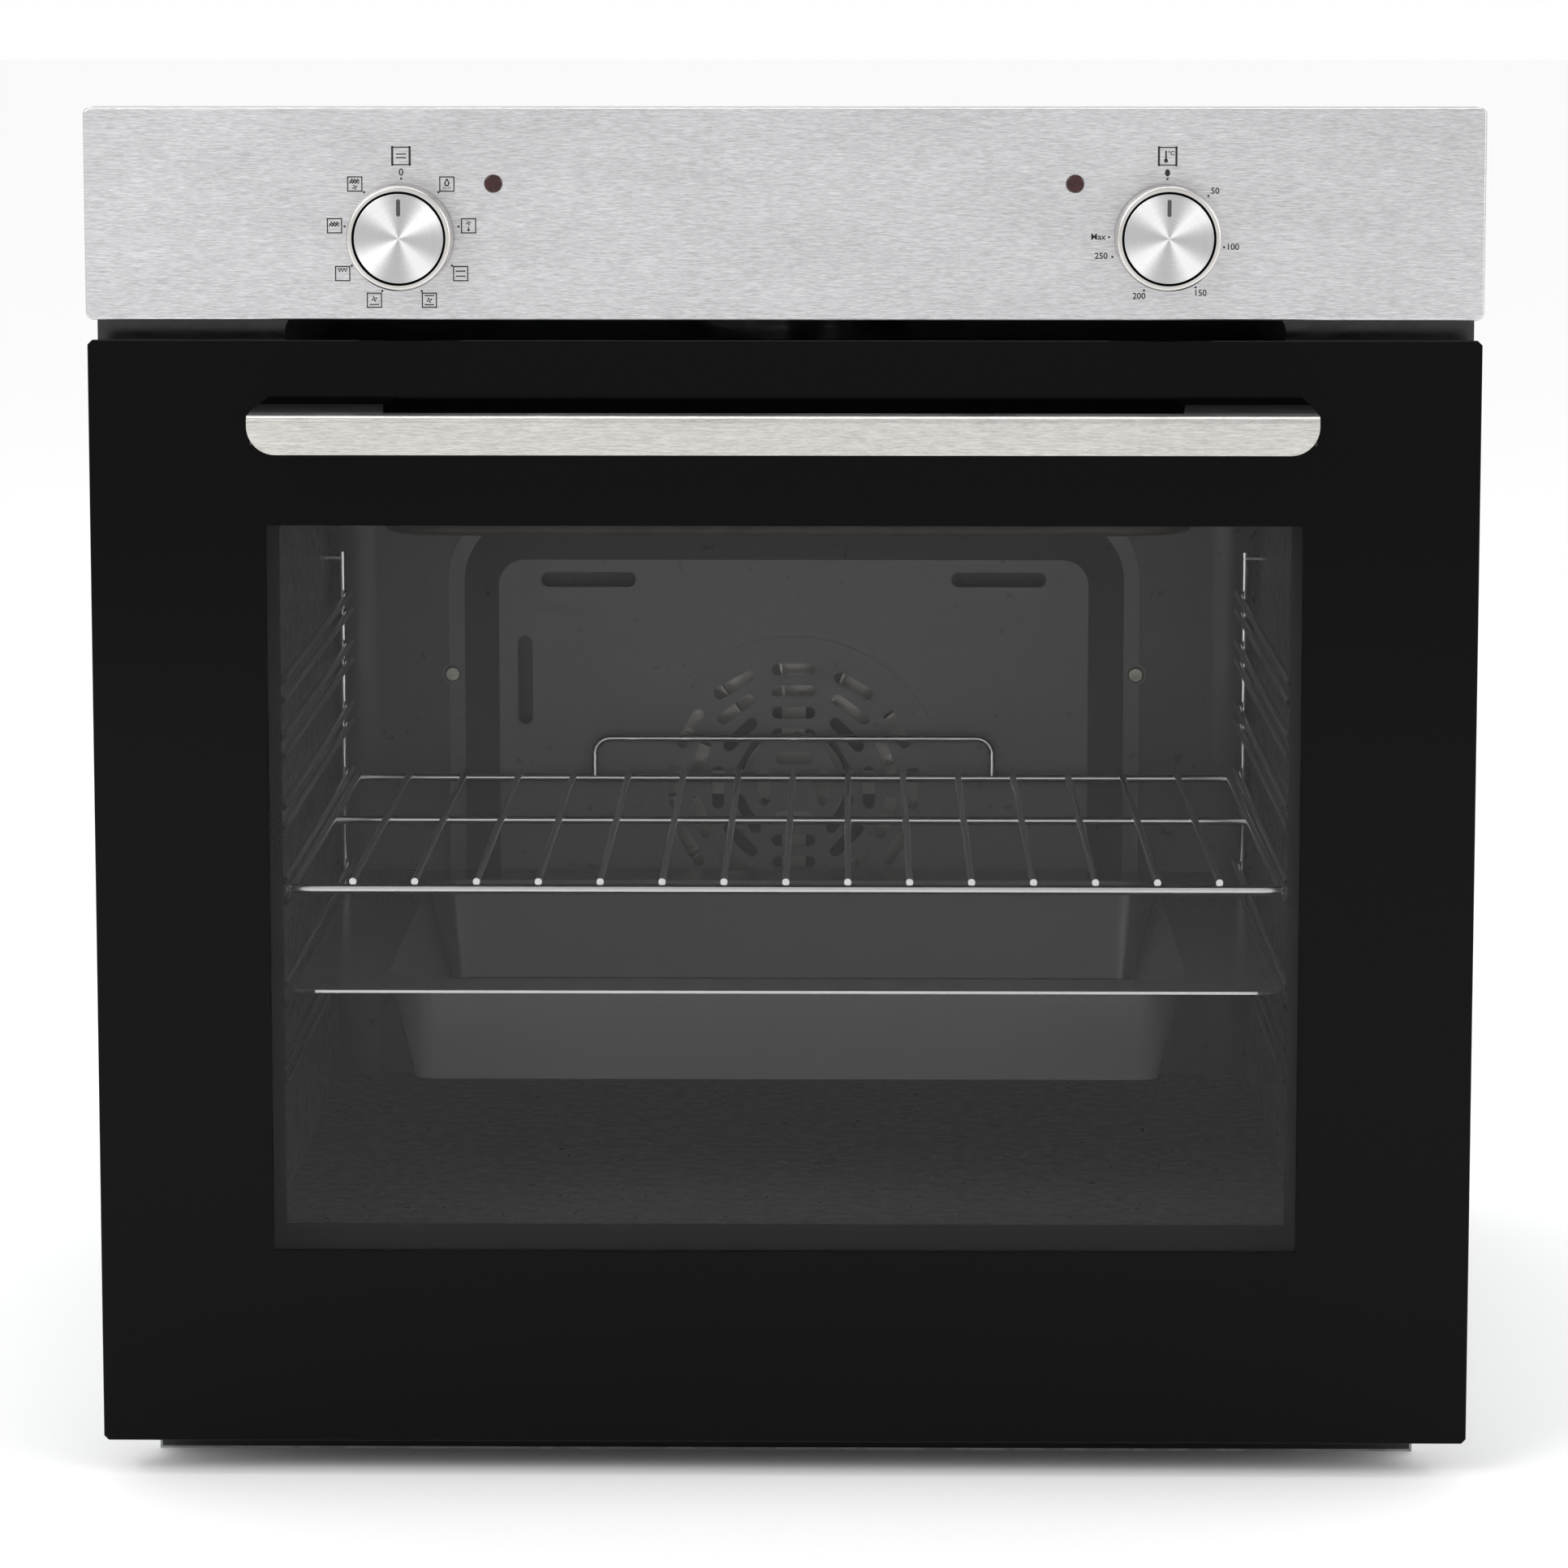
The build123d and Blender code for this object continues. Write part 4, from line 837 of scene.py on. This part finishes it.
@dataclass
class DialPrint:
    """Screen-printed marks round one knob, gathered in one thin mesh; millimetres from the knob's middle."""

    name: str
    knob: str
    ink_thickness: float = 0.06
    line: float = 0.5
    thin_line: float = 0.28
    box_side: float = 6.0
    head_side: float = 7.4
    head_line: float = 0.9
    head: tuple[float, float] = (0.0, 34.2)
    start: tuple[float, float] = (0.0, 27.2)
    dot_ring: float = 24.6
    dot_radius: float = 0.5
    shape: bmesh.types.BMesh = field(default_factory=bmesh.new)

    def spot(self, x: float, z: float, turn: float = 0.0) -> Matrix:
        """Places a flat mark, drawn in X and Y, on the fascia.

        Args:
            x: Millimetres to the right of the knob's middle.
            z: Millimetres above it.
            turn: The mark's turn, anticlockwise as seen from the front.

        Returns:
            The placing matrix, which also turns millimetres to metres.
        """
        low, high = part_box(self.knob)
        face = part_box("outer_glass")[0].y
        middle = Vector(((low.x + high.x) / 2, face, (low.z + high.z) / 2))
        flat = Matrix.Rotation(math.pi / 2, 4, "X") @ Matrix.Rotation(turn, 4, "Z")
        return Matrix.Translation(middle + Vector((x, 0, z)) * MM) @ flat @ Matrix.Scale(MM, 4)

    def bar(
        self, near: tuple[float, float], far: tuple[float, float], width: Optional[float] = None
    ) -> None:
        """A straight printed line with square ends.

        Args:
            near: Its first end.
            far: Its other end.
            width: Its width, or None for the usual line.
        """
        width = width or self.line
        run = Vector(far) - Vector(near)
        centre = (Vector(near) + Vector(far)) / 2
        sizes = (run.length + width, width, 2 * self.ink_thickness)
        place = self.spot(centre.x, centre.y, math.atan2(run.y, run.x)) @ Matrix.Diagonal((*sizes, 1))
        bmesh.ops.create_cube(self.shape, size=1.0, matrix=place)

    def disc(self, x: float, z: float, radius: float, tall: float = 1.0, sides: int = 20) -> None:
        """A filled round or oval spot.

        Args:
            x: Its middle, to the right.
            z: Its middle, up.
            radius: Its half width.
            tall: Its height over its width.
            sides: How many sides it has.
        """
        place = self.spot(x, z) @ Matrix.Diagonal((1, tall, 1, 1))
        bmesh.ops.create_cone(
            self.shape,
            cap_ends=True,
            segments=sides,
            radius1=radius,
            radius2=radius,
            depth=2 * self.ink_thickness,
            matrix=place,
        )

    def path(self, points: Sequence[tuple[float, float]], width: Optional[float] = None) -> None:
        """Joined straight lines.

        Args:
            points: The corners in order.
            width: The line's width, or None for the usual line.
        """
        for near, far in zip(points, points[1:]):
            self.bar(near, far, width)

    def level_bars(self, x: float, heights: Iterable[float], half: float = 1.8) -> None:
        """Level lines in a sign, which stand for the heating elements.

        Args:
            x: Their middle, to the right.
            heights: The height of each.
            half: Half their length.
        """
        for z in heights:
            self.bar((x - half, z), (x + half, z))

    def box(
        self, x: float, z: float, side: Optional[float] = None, side_line: Optional[float] = None
    ) -> None:
        """A square outline.

        Args:
            x: Its middle, to the right.
            z: Its middle, up.
            side: Its side, or None for the usual box.
            side_line: The width of its upright lines, or None for the usual line.
        """
        half = (side or self.box_side) / 2
        for sign in (-1, 1):
            self.bar((x - half, z + sign * half), (x + half, z + sign * half))
            self.bar((x + sign * half, z - half), (x + sign * half, z + half), side_line)

    def fan(self, x: float, z: float, radius: float) -> None:
        """Four swept blades round a hub.

        Args:
            x: The hub, to the right.
            z: The hub, up.
            radius: The blades' reach.
        """
        hub, reach, blade = radius * 0.22, radius * 0.62, radius * 0.42
        first_angle, sweep, blade_width = 20, 0.5, 0.55
        self.disc(x, z, hub, sides=10)
        for quarter in range(4):
            angle = math.radians(first_angle + 90 * quarter)
            middle = (x + reach * math.cos(angle), z + reach * math.sin(angle))
            place = self.spot(*middle, angle + sweep) @ Matrix.Diagonal((1, blade_width, 1, 1))
            bmesh.ops.create_cone(
                self.shape,
                cap_ends=True,
                segments=12,
                radius1=blade,
                radius2=blade,
                depth=2 * self.ink_thickness,
                matrix=place,
            )

    def zigzag(self, x: float, z: float, width: float, height: float) -> None:
        """The full grill's sign: two slanting toothed lines.

        Args:
            x: Its middle, to the right.
            z: Its middle, up.
            width: Its width.
            height: The height of its teeth.
        """
        teeth, row_drop, row_lean = 6, 0.85, 0.35
        for drop in (0.0, row_drop):
            left = x - width / 2 - drop * row_lean
            points = []
            for i in range(teeth + 1):
                rise = height / 2 if i % 2 else -height / 2
                points.append((left + width * i / teeth, z + rise - drop))
            self.path(points, self.line * 0.9)

    def word(self, text: str, x: float, z: float, height: float) -> None:
        """Figures or a short word, centred.

        Args:
            text: What it says.
            x: Its middle, to the right.
            z: Its middle, up.
            height: The height of a capital.
        """
        curve = bpy.data.curves.new("dial_word", "FONT")
        curve.body = text
        curve.align_x = "CENTER"
        curve.align_y = "CENTER"
        capital_share, thickening = 0.73, 0.022
        curve.size = height / capital_share
        curve.extrude = self.ink_thickness
        curve.offset = thickening * height
        holder = bpy.data.objects.new("dial_word", curve)
        mesh = bpy.data.meshes.new_from_object(holder)
        mesh.transform(self.spot(x, z))
        self.shape.from_mesh(mesh)
        bpy.data.objects.remove(holder)
        bpy.data.curves.remove(curve)
        bpy.data.meshes.remove(mesh)

    def mark(self, kind: Mark, x: float, z: float) -> None:
        """One boxed function sign.

        Args:
            kind: The function.
            x: The box's middle, to the right.
            z: The box's middle, up.
        """
        self.box(x, z)
        if kind is Mark.LIGHT:
            self.bulb(x, z)
        elif kind is Mark.DEFROST:
            self.fan(x, z + 1.2, 1.1)
            self.bar((x, z - 0.3), (x, z - 1.2), self.thin_line)
            self.disc(x, z - 1.7, 0.5, 1.3)
        elif kind is Mark.STATIC:
            self.level_bars(x, (z - 1.05, z + 1.05))
        elif kind is Mark.FAN_STATIC:
            self.fan(x, z, 1.3)
            self.level_bars(x, (z - 1.95, z + 1.95))
        elif kind is Mark.FAN_BASE:
            self.fan(x, z + 0.5, 1.3)
            self.level_bars(x, (z - 1.85,))
        elif kind is Mark.SMALL_GRILL:
            self.teeth(x, z)
        elif kind is Mark.GRILL:
            self.zigzag(x, z + 1.1, 3.8, 0.8)
        elif kind is Mark.FAN_GRILL:
            self.zigzag(x, z + 1.6, 3.8, 0.8)
            self.fan(x, z - 1.4, 1.15)

    def bulb(self, x: float, z: float) -> None:
        """The lamp's sign: a pointed glass over four short rays.

        Args:
            x: The box's middle, to the right.
            z: The box's middle, up.
        """
        half_foot, half_waist, foot, waist, tip = 0.5, 0.9, z - 0.6, z + 0.5, z + 2.1
        right = [(x + half_waist, waist), (x + half_foot, foot)]
        self.path([(x - half_foot, foot), (x - half_waist, waist), (x, tip), *right])
        self.bar((x - half_foot, foot), (x + half_foot, foot))
        for lean in (-1.5, -0.55, 0.55, 1.5):
            self.bar((x + lean * 0.75, z - 1.3), (x + lean * 1.1, z - 2.1), self.thin_line)

    def teeth(self, x: float, z: float) -> None:
        """The small grill's sign: three hollow teeth in a row.

        Args:
            x: The box's middle, to the right.
            z: The box's middle, up.
        """
        width, root, tip, line = 1.3, z + 2.1, z + 0.8, 0.3
        for i in (-1, 0, 1):
            left = x + (i - 0.5) * width
            self.path([(left, root), (left + width, root), (left + width / 2, tip), (left, root)], line)

    def dots(self, angles: Iterable[float]) -> None:
        """Dots on the ring round the knob.

        Args:
            angles: Degrees clockwise from the top.
        """
        for angle in angles:
            turn = math.radians(angle)
            x, z = self.dot_ring * math.sin(turn), self.dot_ring * math.cos(turn)
            self.disc(x, z, self.dot_radius, sides=12)

    def finish(self) -> None:
        """Makes the gathered marks a piece on the fascia."""
        place_piece(self.name, self.shape, DIAL_INK, "casing")


@dataclass
class FunctionDial(DialPrint):
    """The left dial: eight functions round the knob."""

    name: str = "function_dial_print"
    knob: str = "function_knob"
    places: dict[Mark, tuple[float, float]] = field(
        default_factory=lambda: {
            Mark.LIGHT: (19.4, 22.3),
            Mark.DEFROST: (28.5, 4.6),
            Mark.STATIC: (25.0, -15.7),
            Mark.FAN_STATIC: (11.6, -27.0),
            Mark.FAN_BASE: (-11.8, -27.0),
            Mark.SMALL_GRILL: (-25.2, -15.7),
            Mark.GRILL: (-28.5, 4.6),
            Mark.FAN_GRILL: (-19.7, 22.3),
        }
    )
    zero_height: float = 3.0
    stops: int = 9

    def build(self) -> None:
        """Prints the signs, the oven sign at the head, the nought and the nine dots."""
        for kind, spot in self.places.items():
            self.mark(kind, *spot)
        x, z = self.head
        self.box(x, z, self.head_side, self.head_line)
        self.level_bars(x, (z - 0.75, z + 0.75), 1.9)
        self.word("0", *self.start, self.zero_height)
        self.dots(360 / self.stops * i for i in range(self.stops))
        self.finish()


@dataclass
class ThermostatDial(DialPrint):
    """The right dial: the temperatures round the knob."""

    name: str = "thermostat_dial_print"
    knob: str = "thermostat_knob"
    words: dict[str, tuple[float, float]] = field(
        default_factory=lambda: {
            "50": (20.2, 19.5),
            "100": (27.9, -4.2),
            "150": (14.3, -23.8),
            "200": (-11.7, -25.1),
            "250": (-27.9, -8.1),
            "Max": (-29.2, 0.0),
        }
    )
    word_height: float = 2.7
    degree_height: float = 1.9
    stops: tuple[float, ...] = (0.0, 45.0, 100.0, 150.0, 203.0, 250.0, 270.0)

    def build(self) -> None:
        """Prints the thermometer sign, the off spot, the temperatures and their dots."""
        x, z = self.head
        self.box(x, z, self.head_side, self.head_line)
        stem_x, stem_width, bulb_radius = x - 0.7, 0.7, 0.85
        self.bar((stem_x, z + 2.0), (stem_x, z - 1.2), stem_width)
        self.disc(stem_x, z - 1.9, bulb_radius)
        self.word("°C", x + 1.5, z + 1.2, self.degree_height)
        self.disc(*self.start, 1.1, 1.4)
        for text, spot in self.words.items():
            self.word(text, *spot, self.word_height)
        self.dots(self.stops)
        self.finish()


# ---------------------------------------------------------------- door seal


@dataclass
class DoorSeal:
    """The round-lipped rubber ring on the front frame, which the door presses; sizes in metres."""

    width: float = 0.008
    corner: float = 0.022
    weld: float = 1e-5
    bend_steps: int = 10
    section_sides: int = 24

    def build(self) -> None:
        """Sweeps a quarter of the ring, mirrors it twice and lets the piece stand for the plain CAD seal."""
        low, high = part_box("door_seal")
        lip = high - low
        across = lip.x / 2 - self.width / 2
        middle = (low.z + high.z) / 2
        up = lip.z / 2 - self.width / 2
        depth = (low.y + high.y) / 2
        shape = bmesh.new()
        squash = Matrix.Diagonal((1, lip.y / 2, self.width / 2, 1))
        turn = Matrix.Rotation(math.pi / 2, 4, "Y")
        start = Matrix.Translation((0, depth, middle + up)) @ squash @ turn
        bmesh.ops.create_circle(
            shape, cap_ends=False, segments=self.section_sides, radius=1.0, matrix=start
        )
        ring = self.run_on(shape, shape.edges[:], Vector((across - self.corner, 0, 0)))
        bend = bmesh.ops.spin(
            shape,
            geom=ring,
            cent=(across - self.corner, depth, middle + up - self.corner),
            axis=(0, 1, 0),
            dvec=(0, 0, 0),
            angle=math.pi / 2,
            steps=self.bend_steps,
        )
        ring = [item for item in bend["geom_last"] if isinstance(item, bmesh.types.BMEdge)]
        self.run_on(shape, ring, Vector((0, 0, self.corner - up)))
        for axis, centre in (("X", Vector((0, 0, 0))), ("Z", Vector((0, 0, middle)))):
            bmesh.ops.mirror(
                shape,
                geom=shape.verts[:] + shape.edges[:] + shape.faces[:],
                matrix=Matrix.Translation(-centre),
                merge_dist=self.weld,
                axis=axis,
            )
        bmesh.ops.remove_doubles(shape, verts=shape.verts[:], dist=self.weld)
        bmesh.ops.recalc_face_normals(shape, faces=shape.faces[:])
        for face in shape.faces:
            face.smooth = True
        seal = place_piece("door_seal_lip", shape, SILICONE, "casing")
        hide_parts("door_seal")

    @staticmethod
    def run_on(shape: bmesh.types.BMesh, ring: list, step: Vector) -> list:
        """Extrudes a ring of edges by a step.

        Args:
            shape: The mesh.
            ring: The ring's edges.
            step: How far it runs.

        Returns:
            The edges at the far end.
        """
        made = bmesh.ops.extrude_edge_only(shape, edges=ring)["geom"]
        ends = [item for item in made if isinstance(item, bmesh.types.BMVert)]
        bmesh.ops.translate(shape, verts=ends, vec=step)
        far = set(ends)
        return [e for e in made if isinstance(e, bmesh.types.BMEdge) and all(v in far for v in e.verts)]


# ---------------------------------------------------------------- studio


@dataclass(frozen=True)
class SoftLamp:
    """A rectangular soft lamp: where it stands, the width and height of its face, and its watts."""

    name: str
    place: tuple[float, float, float]
    size: tuple[float, float]
    watts: float

    def build(self, aim: Vector) -> None:
        """Makes the lamp.

        Args:
            aim: The point that it faces.
        """
        data = bpy.data.lights.new(self.name, "AREA")
        data.shape = "RECTANGLE"
        data.size, data.size_y = self.size
        data.energy = self.watts
        lamp = bpy.data.objects.new(self.name, data)
        place = Vector(self.place)
        lamp.location = place
        lamp.rotation_euler = (aim - place).to_track_quat("-Z", "Y").to_euler()
        bpy.context.scene.collection.objects.link(lamp)


@dataclass
class Studio:
    """Pale floor, soft lamps and the camera, with sizes in metres."""

    floor_size: float = 60.0
    floor_shade: str = "fbfbfb"
    mirrored_surround: float = 0.78
    aim: tuple[float, float, float] = (0.0, 0.0, 0.3)
    lamps: tuple[SoftLamp, ...] = (
        SoftLamp("key", (-1.7, -2.4, 2.0), (1.4, 1.4), 30),
        SoftLamp("fill", (2.2, -1.8, 1.2), (1.2, 1.6), 14),
        SoftLamp("top", (0.0, 0.3, 2.6), (2.0, 2.0), 20),
    )
    eye_distance: float = 2.4
    eye_height: float = 0.664
    eye_side: float = 0.0277
    tilt: float = math.radians(7.22)
    lens: float = 129.6
    drop: float = 0.08
    sight: float = 100.0

    def floor(self) -> None:
        """A large pale plane that the oven stands on."""
        mesh = bpy.data.meshes.new("floor")
        shape = bmesh.new()
        bmesh.ops.create_grid(shape, x_segments=1, y_segments=1, size=self.floor_size / 2)
        shape.to_mesh(mesh)
        shape.free()
        floor = bpy.data.objects.new("floor", mesh)
        bpy.context.scene.collection.objects.link(floor)
        made = bpy.data.materials.new("matt_white_floor")
        made.use_nodes = True
        shader = made.node_tree.nodes["Principled BSDF"]
        shader.inputs["Base Color"].default_value = linear(self.floor_shade)
        shader.inputs["Roughness"].default_value = 0.9
        shader.inputs["Specular IOR Level"].default_value = 0.1
        mesh.materials.append(made)

    def world(self) -> None:
        """A white surround, a little dimmer in mirror-like surfaces than it shows."""
        world = bpy.data.worlds.new("white_surround")
        world.use_nodes = True
        tree = world.node_tree
        tree.nodes.clear()
        mirrored = add_node(tree, "ShaderNodeLightPath").outputs["Is Glossy Ray"]
        inputs = {"Value": mirrored, "To Min": 1.0, "To Max": self.mirrored_surround}
        strength = add_node(tree, "ShaderNodeMapRange", inputs).outputs["Result"]
        white = {"Color": linear("ffffff"), "Strength": strength}
        background = add_node(tree, "ShaderNodeBackground", white)
        add_node(tree, "ShaderNodeOutputWorld", {"Surface": background.outputs[0]})
        bpy.context.scene.world = world

    def camera(self) -> None:
        """The camera looks slightly down at the front, from nearly straight ahead."""
        low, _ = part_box("outer_glass")
        data = bpy.data.cameras.new("camera")
        data.lens = self.lens
        data.shift_y = -self.drop
        data.clip_end = self.sight
        camera = bpy.data.objects.new("camera", data)
        camera.location = (self.eye_side, low.y - self.eye_distance, self.eye_height)
        turn = math.atan(self.eye_side / self.eye_distance)
        camera.rotation_euler = (math.pi / 2 - self.tilt, 0.0, turn)
        bpy.context.scene.collection.objects.link(camera)
        bpy.context.scene.camera = camera

    def build(self) -> None:
        """Builds the studio."""
        self.floor()
        self.world()
        for lamp in self.lamps:
            lamp.build(Vector(self.aim))
        self.camera()
        bpy.context.scene.view_settings.view_transform = "Standard"


def main() -> None:
    """Builds the oven's surface and the studio."""
    logging.basicConfig(level=logging.INFO, format="%(name)s: %(message)s")
    Studio().build()
    dress_cad_nodes()
    FunctionDial().build()
    ThermostatDial().build()
    DoorSeal().build()


if __name__ == "__main__":
    main()
